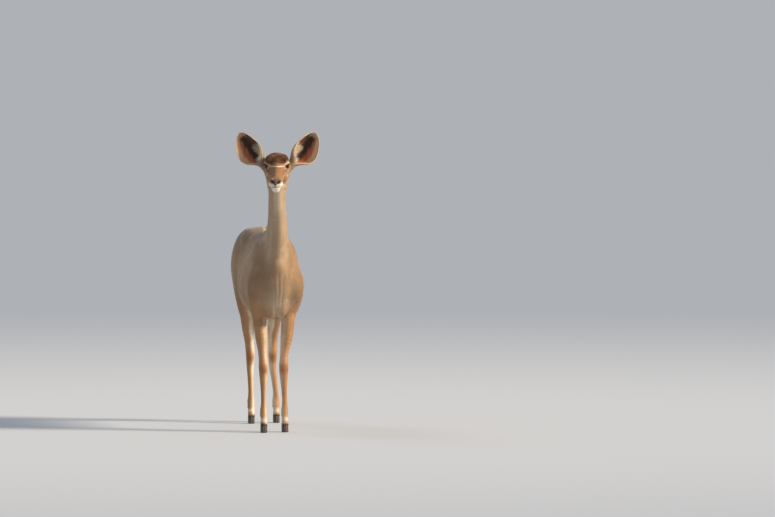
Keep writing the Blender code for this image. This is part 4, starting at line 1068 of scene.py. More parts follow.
def mesh_piece(
    name, points, triangles, material, colours=None, uv=None, normals=None, stands_for=()
):
    """A piece of the model from points and triangles: it rides on the one body."""
    mesh = bpy.data.meshes.new(name)
    mesh.vertices.add(len(points))
    mesh.vertices.foreach_set("co", (points + SHIFT).astype(np.float32).ravel())
    mesh.loops.add(3 * len(triangles))
    mesh.loops.foreach_set("vertex_index", triangles.astype(np.int32).ravel())
    mesh.polygons.add(len(triangles))
    mesh.polygons.foreach_set("loop_start", np.arange(0, 3 * len(triangles), 3, dtype=np.int32))
    mesh.polygons.foreach_set("use_smooth", np.ones(len(triangles), bool))
    mesh.update(calc_edges=True)
    if colours is not None:
        tint = mesh.color_attributes.new("tint", "FLOAT_COLOR", "POINT")
        rgba = np.column_stack([np.clip(colours, 0, 1), np.ones(len(points))])
        tint.data.foreach_set("color", rgba.astype(np.float32).ravel())
    if uv is not None:
        layer = mesh.uv_layers.new(name="OFBake")
        layer.data.foreach_set("uv", uv[triangles.ravel()].astype(np.float32).ravel())
    if normals is not None:
        mesh.normals_split_custom_set(normals.astype(np.float32))
    item = bpy.data.objects.new(name, mesh)
    bpy.context.scene.collection.objects.link(item)
    item.data.materials.append(material)
    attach(item, "root")
    if stands_for:
        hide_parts(*stands_for)
    return item


def tuft_points(roots, normals, ways, lengths, widths, heights, rings, sunk):
    """Points of many tufts at once, each of three-sided rings that narrow and bend over to a tip."""
    across = np.cross(normals, ways)
    across /= np.maximum(np.linalg.norm(across, axis=1), 1e-9)[:, None]
    count = len(roots)
    out = np.empty((count, 3 * rings + 1, 3))
    for k in range(rings + 1):
        t = k / rings
        rise = heights * (1 - (1 - t) ** 1.6) - sunk * (k == 0)
        spot = roots + ways * (lengths * t)[:, None] + normals * rise[:, None]
        if k == rings:
            out[:, -1] = spot
            break
        wide = (widths * (1.0, 1.0, 0.8, 0.6)[min(k, 3)] * (1 - 0.15 * t))[:, None]
        out[:, 3 * k] = spot + across * wide
        out[:, 3 * k + 1] = spot - across * wide
        out[:, 3 * k + 2] = spot + normals * wide * 0.42
    return out


def tuft_triangles(count, rings):
    """Triangles of so many closed tufts, each facing outward."""
    faces = [(0, 2, 1)]
    for k in range(rings - 1):
        for a in range(3):
            b = (a + 1) % 3
            low, high = 3 * k, 3 * (k + 1)
            faces += [(low + a, low + b, high + b), (low + a, high + b, high + a)]
    last = 3 * (rings - 1)
    faces += [(last + a, last + (a + 1) % 3, 3 * rings) for a in range(3)]
    faces = np.array(faces)[:, ::-1]
    return (faces[None] + (3 * rings + 1) * np.arange(count)[:, None, None]).reshape(-1, 3)


def tuft_normals(outs, ways):
    """Soft normals for each corner of short tufts, in the order of their triangles."""
    edge = np.cross(outs, ways) * 0.55
    corners = [outs + edge, outs - edge, outs - ways * 0.2, outs + ways * 0.7]
    under, root = ways * 0.9 - outs * 0.3, outs * 0.6 - ways
    faces = [[root] * 3, [under] * 3, [corners[k] for k in (3, 2, 1)], [corners[k] for k in (3, 0, 2)]]
    soft = np.stack([vector for face in faces for vector in face], axis=1)
    return (soft / np.linalg.norm(soft, axis=2, keepdims=True)).reshape(-1, 3)


def tuft_patches(places, rings):
    """A patch of the unwrap for each tuft, about 0.003 across, at its root's place."""
    corners = []
    for k in range(rings):
        t = k / rings
        corners += [(-0.0015, 0.003 * t - 0.0015), (0.0015, 0.003 * t - 0.0015), (0.0, 0.003 * t - 0.0015)]
    corners.append((0.0, 0.0015))
    places = np.clip(places, 0.002, 0.998)
    return (places[:, None] + np.array(corners)[None]).reshape(-1, 2)


def coat_piece(
    name, roots, normals, ways, lengths, widths, heights, colours, places, rings=1, chance=None, sunk=0.0008
):
    """One piece of the coat, in parts of under 200,000 triangles."""
    most = MOST_TRIANGLES // (1 + 6 * (rings - 1) + 3)
    parts = max(1, math.ceil(len(roots) / most))
    light = chance.uniform(0.86, 1.10, len(roots))
    for part in range(parts):
        pick = slice(part * len(roots) // parts, (part + 1) * len(roots) // parts)
        points = tuft_points(
            roots[pick], normals[pick], ways[pick], lengths[pick], widths[pick], heights[pick], rings, sunk
        )
        along = np.concatenate([np.repeat(np.arange(rings) / rings, 3), [1.0]])
        tone = light[pick][:, None] * (0.92 + 0.13 * along)[None]
        tint = colours[pick][:, None, :] * tone[:, :, None]
        soft = None
        if rings == 1:
            soft = tuft_normals(normals[pick], ways[pick])
        mesh_piece(
            name if parts == 1 else name + "_" + str(part + 1),
            points.reshape(-1, 3),
            tuft_triangles(len(points), rings),
            HAIR,
            tint.reshape(-1, 3),
            tuft_patches(places[pick], rings),
            soft,
        )


# The skin and its coat


def skin_arrays(work):
    """Points, triangles and normals of the skin, the normals across each point's faces."""
    work.verts.index_update()
    points = np.array([vert.co[:] for vert in work.verts])
    triangles = np.array([[vert.index for vert in face.verts] for face in work.faces])
    return points, triangles, point_normals(points, triangles)


def point_normals(points, triangles):
    a, b, c = (points[triangles[:, k]] for k in range(3))
    face = np.cross(b - a, c - a)
    total = np.zeros_like(points)
    for k in range(3):
        np.add.at(total, triangles[:, k], face)
    return total / np.maximum(np.linalg.norm(total, axis=1), 1e-12)[:, None]


def scattered(points, triangles, normals, weights, chance):
    """Roots spread over triangles, evenly for their weight, with a normal each."""
    a, b, c = (points[triangles[:, k]] for k in range(3))
    area = 0.5 * np.linalg.norm(np.cross(b - a, c - a), axis=1)
    total = np.cumsum(area * weights)
    count = int(total[-1])
    pick = np.searchsorted(total, (np.arange(count) + chance.uniform(0, 1, count)) * total[-1] / count)
    pick = np.minimum(pick, len(triangles) - 1)
    u, v = chance.uniform(0, 1, (2, count))
    over = u + v > 1
    u[over], v[over] = 1 - u[over], 1 - v[over]
    u, v = u[:, None], v[:, None]
    roots = a[pick] * (1 - u - v) + b[pick] * u + c[pick] * v
    corner = [normals[triangles[pick, k]] for k in range(3)]
    out = corner[0] * (1 - u - v) + corner[1] * u + corner[2] * v
    return roots, out / np.linalg.norm(out, axis=1, keepdims=True)


def coat_regions(roots):
    """Which piece of the coat each root belongs to."""
    y, z = roots[:, 1], roots[:, 2]
    region = np.where(y < -0.22, "coat_shoulders", np.where(y < 0.20, "coat_barrel", "coat_haunches"))
    region = np.where(z < 0.62, np.where(y < 0, "coat_forelegs", "coat_hindlegs"), region)
    region = np.where((z > 1.15) & (y < -0.40), "coat_neck", region)
    region = np.where(on_head(roots) > 0.5, "coat_head", region)
    return np.where(on_tail(roots) > 0.5, "coat_tail", region)


def around(first, second):
    """How far round from 0 to 1 a direction is."""
    return 0.5 + np.arctan2(first, second) / math.tau


def unwrapped(name, roots):
    """A place from 0 to 1 each way for every root, along the body and round it."""
    x, y, z = roots.T
    if name == "coat_head":
        x, y, z = to_head(roots).T
        return np.column_stack([around(x, z + 0.015), (y + 0.24) / 0.40])
    if name in ("coat_forelegs", "coat_hindlegs"):
        feet = FRONT_FEET if name == "coat_forelegs" else HIND_FEET
        knees = KNEES if name == "coat_forelegs" else HOCKS
        out = np.empty((len(roots), 2))
        for k, side in enumerate(SIDES):
            here = (x > 0.005) == (side == "left")
            share = np.clip(z / 0.40, 0, 1)
            middle = np.outer(1 - share, feet[side]) + np.outer(share, knees[side])
            turn = around(x - middle[:, 0], y - middle[:, 1])
            out[here] = np.column_stack([(k + turn) / 2, z / 0.66])[here]
        return out
    if name == "coat_neck":
        middle = smooth_curve([(row[2], row[0], row[1]) for row in NECK_LINE], z)
        return np.column_stack([around(x - middle[:, 0], y - middle[:, 1]), (z - 1.1) / 0.6])
    if name == "coat_tail":
        return np.column_stack([around(x, y - 0.692), (z - 0.75) / 0.42])
    return np.column_stack([around(x, z - 0.95), (y + 0.72) / 1.48])


def grow_coat(points, triangles, normals, chance):
    """Short tufts that lie along the skin, smallest on face and feet."""
    middle = points[triangles].mean(axis=1)
    weights = (1 - bareness(middle)) ** 2 / spacing(middle) ** 2
    roots, outs = scattered(points, triangles, normals, weights, chance)
    ways = lie(roots, outs)
    colours = coat_colour(roots, outs)
    lengths = hair_length(roots) * chance.uniform(0.75, 1.2, len(roots))
    widths = spacing(roots) * chance.uniform(0.27, 0.42, len(roots)) * 1.0
    lift = 0.45 - 0.24 * on_neck(roots) - 0.20 * ramp(roots[:, 2], 0.70, 0.50)
    heights = coat_depth(roots) * chance.uniform(0.45, 1.25, len(roots)) * lift
    region = coat_regions(roots)
    for name in sorted(set(region)):
        pick = region == name
        coat_piece(
            name, roots[pick], outs[pick], ways[pick], lengths[pick], widths[pick], heights[pick],
            colours[pick], unwrapped(name, roots[pick]), chance=chance,
        )


# Locks: crown, mane and tail, so many to the square metre

CROWN_DENSITY = 330000
MANE_DENSITY = 170000
TAIL_DENSITY = 130000


def curled(ways, outs, amount, chance):
    """The directions turned a little at random along the skin."""
    across = np.cross(outs, ways)
    ways = ways + across * chance.normal(0, amount, len(ways))[:, None]
    return ways / np.linalg.norm(ways, axis=1)[:, None]


def pick_roots(arrays, share, each_square_metre, chance):
    """Roots where `share` of the place is above zero, about so many to the square metre."""
    points, triangles, normals = arrays
    middle = points[triangles].mean(axis=1)
    facing = normals[triangles].mean(axis=1)
    weights = share(middle, facing) * each_square_metre * 1.0
    return scattered(points, triangles, normals, weights, chance)


def crown_share(points, normals):
    """1 on the crown between eyes, ears and poll, 0 away from it."""
    x, y, z = to_head(points).T
    far, _, _ = eye_places(to_head(points))
    front = -0.052 + 0.012 * (x / 0.05) ** 2 + 0.006 * waver(points, 60.0)
    wide = ramp(np.abs(x), 0.069, 0.052) * ramp(far, 2.2, 2.6)
    return ramp(y, front, front + 0.030) * ramp(y, 0.125, 0.090) * ramp(z, 0.020, 0.036) * wide


def mane_share(points, normals):
    """1 on a narrow strip along nape and withers, 0 away from it."""
    x, y, z = points.T
    nape = ramp(np.abs(x + 0.008 * on_neck(points)), 0.022, 0.010)
    nape = nape * ramp(y, -0.70, -0.66) * ramp(y, 0.12, 0.02)
    return nape * ramp(z, 1.165, 1.18) * ramp(normals[:, 1] + normals[:, 2], 0.3, 0.7)


def tail_share(points, normals):
    """1 on the tail below its root."""
    return on_tail(points) * ramp(points[:, 2], 1.06, 1.02)


def grow_locks(arrays, chance):
    """The woolly crown, the short mane along nape and withers, and the tail's long hair."""
    turn = np.array(head_matrix().to_3x3(), float)
    roots, outs = pick_roots(arrays, crown_share, CROWN_DENSITY, chance)
    local = to_head(roots)
    swirl = np.column_stack([waver(roots, 75.0, k) for k in (0, 3, 6)])
    lean = np.column_stack([local[:, 0] * 10, np.full(len(roots), -0.35), np.full(len(roots), 0.1)])
    lean = lean + 1.1 * swirl
    ways = curled(tangent(lean @ turn.T, outs), outs, 0.45, chance)
    lengths = 0.014 * chance.uniform(0.55, 1.15, len(roots)) * (0.50 + 0.50 * crown_share(roots, outs))
    heights = lengths * chance.uniform(0.03, 0.26, len(roots)) * (1 + 0.3 * waver(roots, 60.0, 4))
    # The locks vary in tone at random; their dark patches are also painted shade among the curls
    tone = chance.uniform(0.60, 1.35, len(roots)) * (1 + 0.55 * waver(roots, 85.0, 2))
    warm = ramp(chance.uniform(0, 1, len(roots)), 0.6, 1.2)
    colours = mixed(np.tile(CROWN_BROWN, (len(roots), 1)), WARM, warm) * tone[:, None]
    widths = chance.uniform(0.0005, 0.0010, len(roots))
    places = unwrapped("coat_head", roots)
    coat_piece("crown_locks", roots, outs, ways, lengths, widths, heights, colours, places, 3, chance)

    roots, outs = pick_roots(arrays, mane_share, MANE_DENSITY, chance)
    ways = curled(lie(roots, outs), outs, 0.22, chance)
    lengths = (0.028 + 0.008 * ramp(roots[:, 1], -0.30, -0.45)) * chance.uniform(0.6, 1.15, len(roots))
    lengths *= ramp(roots[:, 1], 0.12, -0.10) * 0.6 + 0.4
    heights = lengths * chance.uniform(0.20, 0.50, len(roots))
    colours = mixed(coat_colour(roots, outs), BROWN, np.full(len(roots), 0.55))
    colours *= chance.uniform(0.7, 1.3, len(roots))[:, None]
    widths = chance.uniform(0.0006, 0.0012, len(roots))
    places = unwrapped("coat_barrel", roots)
    coat_piece("mane_locks", roots, outs, ways, lengths, widths, heights, colours, places, 3, chance)

    roots, outs = pick_roots(arrays, tail_share, TAIL_DENSITY, chance)
    ways = curled(lie(roots, outs), outs, 0.16, chance)
    share = ramp(roots[:, 2], 1.05, 0.85)
    lengths = (0.050 + 0.050 * share) * chance.uniform(0.7, 1.12, len(roots))
    heights = (0.010 + 0.014 * share) * chance.uniform(0.2, 1.1, len(roots))
    colours = mixed(coat_colour(roots, outs), BLACK, ramp(roots[:, 2], 0.93, 0.87))
    colours *= chance.uniform(0.75, 1.2, len(roots))[:, None]
    widths = chance.uniform(0.0009, 0.0018, len(roots))
    places = unwrapped("coat_tail", roots)
    coat_piece("tail_locks", roots, outs, ways, lengths, widths, heights, colours, places, 3, chance)


def tangent(ways, outs):
    """The directions laid flat on the skin."""
    ways = ways - outs * (ways * outs).sum(1)[:, None]
    return ways / np.maximum(np.linalg.norm(ways, axis=1), 1e-9)[:, None]


# Ears


def ear_arrays(rows, columns):
    """The ear's back and inside as grids in its own frame, thinner than the solid by the coat."""
    sheet = ear_sheet(rows, columns, 0.0)
    normal = np.cross(np.gradient(sheet, axis=0), np.gradient(sheet, axis=1))
    normal /= np.maximum(np.linalg.norm(normal, axis=2, keepdims=True), 1e-12)
    share = np.linspace(0, 1, rows)[:, None]
    column = np.linspace(-1, 1, columns)[None, :]
    wall = EAR_WALL * (1 - 0.5 * share)
    thin = 0.0004 * ramp(share, 1.0, 0.92)
    ribs = 0.0007 * (1 + np.sin(column * 13 + 1.5 * share)) * ramp(share, 0.05, 0.25) * ramp(share, 0.85, 0.5)
    ribs = ribs * ramp(np.abs(column), 0.85, 0.6)
    inside = sheet + normal * (thin - ribs)[..., None]
    back = sheet + normal * (wall - thin)[..., None]
    return back, inside


def grid_triangles(rows, columns, first=0):
    i, j = np.meshgrid(np.arange(rows - 1), np.arange(columns - 1), indexing="ij")
    a = (first + i * columns + j).ravel()
    b, c, d = a + 1, a + columns + 1, a + columns
    return np.concatenate([np.column_stack([a, b, c]), np.column_stack([a, c, d])])


def ear_colours(share, column, inside):
    """The ear's colours by how far up and across it: a hollow painted dark as its shade, warm outer wall and
    pale inner one.
    """
    count = len(share)
    waves = np.sin(column * 9 + share * 13) * 0.5 + np.sin(share * 31 + column * 17) * 0.5
    back = np.tile(shade(160, 132, 106), (count, 1))
    back = mixed(back, shade(120, 95, 78), ramp(share, 0.80, 1.0) * 0.6)
    # Painted shade: the inside starts dark brown, the shade in the ear's hollow
    colour = np.tile(shade(46, 26, 19), (count, 1))
    outer = column + 0.05 * waves
    colour = mixed(colour, shade(178, 98, 66), ramp(outer, 0.02, 0.24) * ramp(share, 0.92, 0.80))
    colour = mixed(colour, shade(240, 200, 158), ramp(outer, 0.28, 0.54) * 0.9)
    inner = ramp(-column + 0.06 * waves, 0.25, 0.50)
    colour = mixed(colour, shade(112, 68, 48), inner * 0.7)
    colour = mixed(colour, CREAM, inner * ramp(share + 0.04 * waves, 0.60, 0.46) * 0.9)
    colour = mixed(colour, shade(206, 168, 134), ramp(share + 0.03 * waves, 0.86, 0.95) * 0.85)
    # Painted shade: darker still deep in the cup near its root
    colour = mixed(colour, shade(60, 40, 32), ramp(share, 0.16, 0.05) * 0.7)
    colour = np.where(inside[:, None], colour, back)
    return mixed(colour, CREAM, ramp(np.abs(column), 0.93, 0.985) * ramp(share, 0.12, 0.3) * 0.85)


def outward(points, triangles):
    """The triangles turned, if need be, so that they face away from the middle of the points."""
    middle = points.mean(0)
    a, b, c = (points[triangles[:, k]] for k in range(3))
    if np.einsum("ij,ij->i", a - middle, np.cross(b - middle, c - middle)).sum() < 0:
        return triangles[:, ::-1]
    return triangles


def ear_piece(side, chance):
    """The ear's skin as one closed shell, with its hair."""
    rows, columns = 84, 61
    matrix = ear_matrix(side)
    to_world = np.array(matrix, float)
    back, inside = ear_arrays(rows, columns)
    count = rows * columns
    local = np.concatenate([back.reshape(-1, 3), inside.reshape(-1, 3)])
    triangles = [grid_triangles(rows, columns), grid_triangles(rows, columns, count)[:, ::-1]]
    ring = [(i, 0) for i in range(rows)] + [(rows - 1, j) for j in range(1, columns)]
    ring += [(i, columns - 1) for i in range(rows - 2, -1, -1)]
    ring += [(0, j) for j in range(columns - 2, 0, -1)]
    ring = np.array([i * columns + j for i, j in ring])
    after = np.roll(ring, -1)
    triangles.append(np.column_stack([ring, after + count, ring + count]))
    triangles.append(np.column_stack([ring, after, after + count]))
    triangles = np.concatenate(triangles)
    points = local @ to_world[:3, :3].T + to_world[:3, 3]
    triangles = outward(points, triangles)
    share = np.tile(np.repeat(np.linspace(0, 1, rows), columns), 2)
    column = np.tile(np.tile(np.linspace(-1, 1, columns), rows), 2)
    within = np.arange(2 * count) >= count
    colours = ear_colours(share, column, within)
    mesh_piece("ear_skin_" + side, points, triangles, SKIN, colours, stands_for=["ear_" + side])
    normals = point_normals(points, triangles)
    ear_hair(side, points, normals, to_world, share, column, within, colours, chance)


def ear_hair(side, points, normals, to_world, share, column, within, colours, chance):
    """Short fur on the back, a fringe on the rim and long pale hair inside."""
    places = np.column_stack([0.25 + 0.24 * column + 0.5 * within, 0.02 + 0.95 * share])
    turn = to_world[:3, :3]
    quick = 1.0

    def grow(name, weight, count, length, width, lift, lean, tone, rings):
        pick = chance.choice(len(points), size=int(count * quick), p=weight / weight.sum())
        shift = chance.normal(0, 0.0010, (len(pick), 3))
        outs = normals[pick]
        ways = curled(tangent(np.tile(turn @ np.array(lean), (len(pick), 1)), outs), outs, 0.22, chance)
        roots = points[pick] + shift - outs * (shift * outs).sum(1)[:, None]
        lengths = length * chance.uniform(0.65, 1.2, len(pick)) * (1 - 0.4 * ramp(share[pick], 0.80, 1.0))
        lengths *= 1 + 0.7 * ramp(share[pick], 0.22, 0.05)
        heights = lift * chance.uniform(0.4, 1.2, len(pick))
        tint = mixed(colours[pick], CREAM, np.full(len(pick), tone))
        tint *= chance.uniform(0.85, 1.15, len(pick))[:, None]
        wide = width * chance.uniform(0.7, 1.2, len(pick))
        spots = places[pick]
        coat_piece(name, roots, outs, ways, lengths, wide, heights, tint, spots, rings, chance, 0.0002)

    area = smooth_curve(EAR_ROWS, share)[:, 0]
    grow("ear_fur_" + side, area * ~within, 8500, 0.009, 0.0009, 0.0013, (0.0, 0.0, 1.0), 0.0, 1)
    down = area * within * (share > 0.10) * (np.abs(column) < 0.95)
    grow("ear_down_" + side, down, 5500, 0.007, 0.0007, 0.0010, (0.0, 0.0, 1.0), 0.05, 1)
    wall = within * ramp(-column, 0.28, 0.42) * ramp(share, 0.04, 0.10) * ramp(share, 0.56, 0.42)
    grow("ear_hair_" + side, wall, 1700, 0.034, 0.0006, 0.008, (0.75, 0.0, 0.75), 0.85, 3)
    rim = ramp(np.abs(column), 0.90, 0.96) * ramp(share, 0.06, 0.15) * within
    grow("ear_rim_" + side, rim, 3600, 0.009, 0.0004, 0.0022, (0.0, 0.0, 1.0), 0.70, 2)


# Claws, dewclaws and eyes


def claw_piece(name, x, y, inner, node):
    """One claw with rounded walls over the same rings as the solid."""
    rings, sides = 14, 40
    heights = np.linspace(0, 1, rings)
    table = [(k / (len(CLAW) - 1), *row) for k, row in enumerate(CLAW)]
    rows = smooth_curve(table, heights)
    points = []
    for toe, heel, half, front, back in rows:
        for k in range(sides):
            turn = math.tau * k / sides
            share = 0.5 - 0.5 * math.cos(turn)
            toe_in = 0.0060 * (1 - share) ** 2
            wide = half * abs(math.sin(turn)) * (1 - 0.30 * (1 - share) ** 2) - toe_in
            if math.sin(turn) < 0:
                flat = CLAW_APART - CLEFT
                wide = -min(flat * 1.6 * abs(math.sin(turn)) + toe_in, flat)
            height = front + (back - front) * share
            points.append((x - wide * inner, y + toe + (heel - toe) * share, height))
    points = np.array(points)
    faces = []
    for i in range(rings - 1):
        for k in range(sides):
            n = (k + 1) % sides
            a, b, c, d = i * sides + k, i * sides + n, (i + 1) * sides + n, (i + 1) * sides + k
            faces += [(a, b, c), (a, c, d)]
    faces += [(0, k + 1, k) for k in range(1, sides - 1)]
    top = (rings - 1) * sides
    faces += [(top, top + k, top + k + 1) for k in range(1, sides - 1)]
    faces = outward(points, np.array(faces))
    item = mesh_piece(name, points, faces, HORN, stands_for=[node])
    sharpened(item, 50)


def sharpened(item, degrees):
    """Edges sharper than this stay sharp in the smooth shading."""
    work = bmesh.new()
    work.from_mesh(item.data)
    for edge in work.edges:
        if len(edge.link_faces) == 2 and edge.calc_face_angle(0) > math.radians(degrees):
            edge.smooth = False
    work.to_mesh(item.data)
    work.free()


def ring_points(radius, height, sides):
    """Points of a level circle about Z."""
    turns = [math.tau * k / sides for k in range(sides)]
    return [(radius * math.cos(turn), radius * math.sin(turn), height) for turn in turns]


def round_piece(name, material, sides, up, shape):
    """A closed form of rings about Z, in its own frame: shape(latitude) gives its half width and height."""
    points = [(0.0, 0.0, shape(-math.pi / 2)[1])]
    for i in range(1, up):
        latitude = math.pi * (i / up - 0.5)
        points += ring_points(*shape(latitude), sides)
    points.append((0.0, 0.0, shape(math.pi / 2)[1]))
    faces = [(0, 1 + (k + 1) % sides, 1 + k) for k in range(sides)]
    for i in range(up - 2):
        for k in range(sides):
            a, b = 1 + i * sides + k, 1 + i * sides + (k + 1) % sides
            faces.append((a, b, b + sides, a + sides))
    last = len(points) - 1
    base = 1 + (up - 2) * sides
    faces += [(last, base + k, base + (k + 1) % sides) for k in range(sides)]
    mesh = bpy.data.meshes.new(name)
    mesh.from_pydata(points, [], faces)
    mesh.polygons.foreach_set("use_smooth", np.ones(len(faces), bool))
    item = bpy.data.objects.new(name, mesh)
    bpy.context.scene.collection.objects.link(item)
    item.data.materials.append(material)
    return item


def eye_piece(side):
    """An eyeball with a clear bulge at its front, looking along its own -Y."""

    def shape(latitude):
        radius = EYE_RADIUS * 0.985 * (1 + 0.035 * float(ramp(latitude, 0.95, math.pi / 2)))
        return radius * math.cos(latitude), radius * math.sin(latitude)

    item = round_piece("eyeball_" + side, EYE_MATERIAL, 64, 48, shape)
    item.data.transform(Matrix.Rotation(math.radians(90), 4, "X"))
    look = head_matrix().to_3x3() @ Vector((EYE_LOOK.x * SIDES[side], EYE_LOOK.y, EYE_LOOK.z))
    turn = look.to_track_quat("-Y", "Z").to_matrix().to_4x4()
    item.matrix_world = Matrix.Translation(eye_centre(side) + SHIFT_VECTOR) @ turn
    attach(item, "root")
    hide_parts("eye_" + side)


def lashes(side, chance):
    """A short row of dark lashes along the upper lid."""
    s = SIDES[side]
    turn = np.array(head_matrix().to_3x3(), float)
    centre = np.array(EYE) + np.array(EYE_LOOK) * EYE_RADIUS
    look = np.array(EYE_LOOK)
    yaw, slope = math.atan2(look[0], -look[1]), math.radians(SLIT_SLOPE)
    flat = np.array((math.cos(yaw), math.sin(yaw), 0.0))
    rise = np.array((0.0, 0.0, 1.0))
    along = flat * math.cos(slope) - rise * math.sin(slope)
    up = flat * math.sin(slope) + rise * math.cos(slope)
    angle = np.linspace(0.18 * math.pi, 0.86 * math.pi, 46) + chance.normal(0, 0.02, 46)
    roots = centre + np.outer(np.cos(angle) * SLIT_HALF_LENGTH * 1.02, along)
    roots += np.outer(np.sin(angle) * SLIT_HALF_HEIGHT * 1.08, up) + look * 0.0008
    ways = look * 0.85 + np.outer(np.cos(angle) * 0.5, along) + up * 0.35
    outs = np.tile(up, (len(roots), 1))
    mirror = np.array((s, 1.0, 1.0))
    roots, ways, outs = (part * mirror @ turn.T for part in (roots, ways, outs))
    roots = roots + np.array(HEAD_ORIGIN)
    ways = ways / np.linalg.norm(ways, axis=1)[:, None]
    count = len(roots)
    lengths = chance.uniform(0.006, 0.010, count)
    coat_piece(
        "lashes_" + side, roots, outs, ways, lengths, np.full(count, 0.00035), np.full(count, 0.0016),
        np.tile(BLACK, (count, 1)), unwrapped("coat_head", roots), 2, chance,
    )


def feet_pieces():
    """The claws and dewclaws of all four feet."""
    for end, feet in (("front", FRONT_FEET), ("hind", HIND_FEET)):
        for side, (x, y) in feet.items():
            for place, s in (("inner", -SIDES[side]), ("outer", SIDES[side])):
                tail = end + "_" + side + "_" + place
                claw_piece("claw_" + tail, x + CLAW_APART * s, y, -s, "hoof_" + tail)
                ankle = y + (0.022 if end == "front" else 0.036)
                item = round_piece("spur_" + tail, HORN, 28, 18, spur_shape)
                centre = Vector((x + 0.0125 * s, ankle + 0.0135, FETLOCK_HEIGHT - 0.026))
                lean = Matrix.Rotation(math.radians(-22), 4, "X")
                item.matrix_world = Matrix.Translation(centre + SHIFT_VECTOR) @ lean
                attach(item, "root")
                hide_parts("dewclaw_" + tail)


def spur_shape(latitude):
    """A blunt cone, pointing down."""
    narrow = 0.80 + 0.20 * math.sin(latitude) if latitude < 0 else 0.80
    return 0.0078 * math.cos(latitude) * (narrow + 0.18), 0.0125 * math.sin(latitude)


# Materials


def new_material(name):
    """A material with its nodes and links."""
    material = bpy.data.materials.new(name)
    material.use_nodes = True
    return material, material.node_tree.nodes, material.node_tree.links


def noise(nodes, links, coordinates, scale, detail=3.0, stretch=None):
    """A noise value over the coordinates, about 0.3 to 0.7."""
    texture = nodes.new("ShaderNodeTexNoise")
    texture.inputs["Scale"].default_value = scale
    texture.inputs["Detail"].default_value = detail
    if stretch:
        mapping = nodes.new("ShaderNodeMapping")
        mapping.inputs["Scale"].default_value = stretch
        links.new(coordinates, mapping.inputs["Vector"])
        coordinates = mapping.outputs["Vector"]
    links.new(coordinates, texture.inputs["Vector"])
    return texture.outputs["Fac"]


def bumped(nodes, links, shader, height, strength, distance):
    """Fine relief on a shader's surface."""
    bump = nodes.new("ShaderNodeBump")
    bump.inputs["Strength"].default_value = strength
    bump.inputs["Distance"].default_value = distance
    links.new(height, bump.inputs["Height"])
    links.new(bump.outputs["Normal"], shader.inputs["Normal"])


def worked_out(nodes, links, operation, first, second=None):
    """The result of one sum on two values, each a socket or a number."""
    node = nodes.new("ShaderNodeMath")
    node.operation = operation
    for socket, value in zip(node.inputs, (first, second)):
        if isinstance(value, float):
            socket.default_value = value
        elif value is not None:
            links.new(value, socket)
    return node.outputs[0]


def spread(nodes, links, value, low, high):
    """A noise value spread from about 0.3 to 0.7 out to low and high."""
    span = nodes.new("ShaderNodeMapRange")
    span.inputs["From Min"].default_value = 0.3
    span.inputs["From Max"].default_value = 0.7
    span.inputs["To Min"].default_value = low
    span.inputs["To Max"].default_value = high
    links.new(value, span.inputs["Value"])
    return span.outputs["Result"]


def toned(nodes, links, colour, value):
    """A colour made lighter or darker by a value about 1."""
    tone = nodes.new("ShaderNodeHueSaturation")
    links.new(colour, tone.inputs["Color"])
    links.new(value, tone.inputs["Value"])
    return tone.outputs["Color"]


def hair_material():
    """Hair in the coat's own colours, a little mottled."""
    material, nodes, links = new_material("hair")
    shader = nodes["Principled BSDF"]
    tint = nodes.new("ShaderNodeAttribute")
    tint.attribute_name = "tint"
    place = nodes.new("ShaderNodeTexCoord").outputs["Object"]
    value = spread(nodes, links, noise(nodes, links, place, 210.0), 0.90, 1.10)
    patch = spread(nodes, links, noise(nodes, links, place, 11.0, 4.0), 0.94, 1.05)
    colour = toned(nodes, links, toned(nodes, links, tint.outputs["Color"], value), patch)
    links.new(colour, shader.inputs["Base Color"])
    shader.inputs["Roughness"].default_value = 0.62
    shader.inputs["Specular IOR Level"].default_value = 0.30
    shader.inputs["Sheen Weight"].default_value = 0.10
    shader.inputs["Sheen Roughness"].default_value = 0.45
    return material


def skin_material():
    """Skin in the coat's own colours, with fine relief."""
    material, nodes, links = new_material("skin")
    shader = nodes["Principled BSDF"]
    tint = nodes.new("ShaderNodeAttribute")
    tint.attribute_name = "tint"
    place = nodes.new("ShaderNodeTexCoord").outputs["Object"]
    value = spread(nodes, links, noise(nodes, links, place, 320.0, 5.0), 0.78, 1.04)
    links.new(toned(nodes, links, tint.outputs["Color"], value), shader.inputs["Base Color"])
    rough = spread(nodes, links, noise(nodes, links, place, 90.0), 0.50, 0.78)
    links.new(rough, shader.inputs["Roughness"])
    shader.inputs["Specular IOR Level"].default_value = 0.35
    bumped(nodes, links, shader, noise(nodes, links, place, 520.0, 4.0), 0.45, 0.0008)
    return material


def horn_material():
    """Dark horn with faint rings round it, scuffed in streaks that are paler and duller."""
    material, nodes, links = new_material("horn")
    shader = nodes["Principled BSDF"]
    place = nodes.new("ShaderNodeTexCoord").outputs["Object"]
    rings = nodes.new("ShaderNodeTexWave")
    rings.wave_type = "BANDS"
    rings.bands_direction = "Z"
    rings.inputs["Scale"].default_value = 75.0
    rings.inputs["Distortion"].default_value = 2.2
    rings.inputs["Detail"].default_value = 3.0
    links.new(place, rings.inputs["Vector"])
    streaks = noise(nodes, links, place, 95.0, 5.0, (3.0, 3.0, 0.5))
    ramp_node = nodes.new("ShaderNodeValToRGB")
    ramp_node.color_ramp.elements[0].color = (*shade(36, 31, 29), 1)
    ramp_node.color_ramp.elements[0].position = 0.30
    ramp_node.color_ramp.elements[1].color = (*shade(92, 80, 70), 1)
    ramp_node.color_ramp.elements[1].position = 0.85
    links.new(streaks, ramp_node.inputs["Fac"])
    links.new(ramp_node.outputs["Color"], shader.inputs["Base Color"])
    links.new(spread(nodes, links, streaks, 0.38, 0.62), shader.inputs["Roughness"])
    bumped(nodes, links, shader, rings.outputs["Fac"], 0.20, 0.0004)
    return material


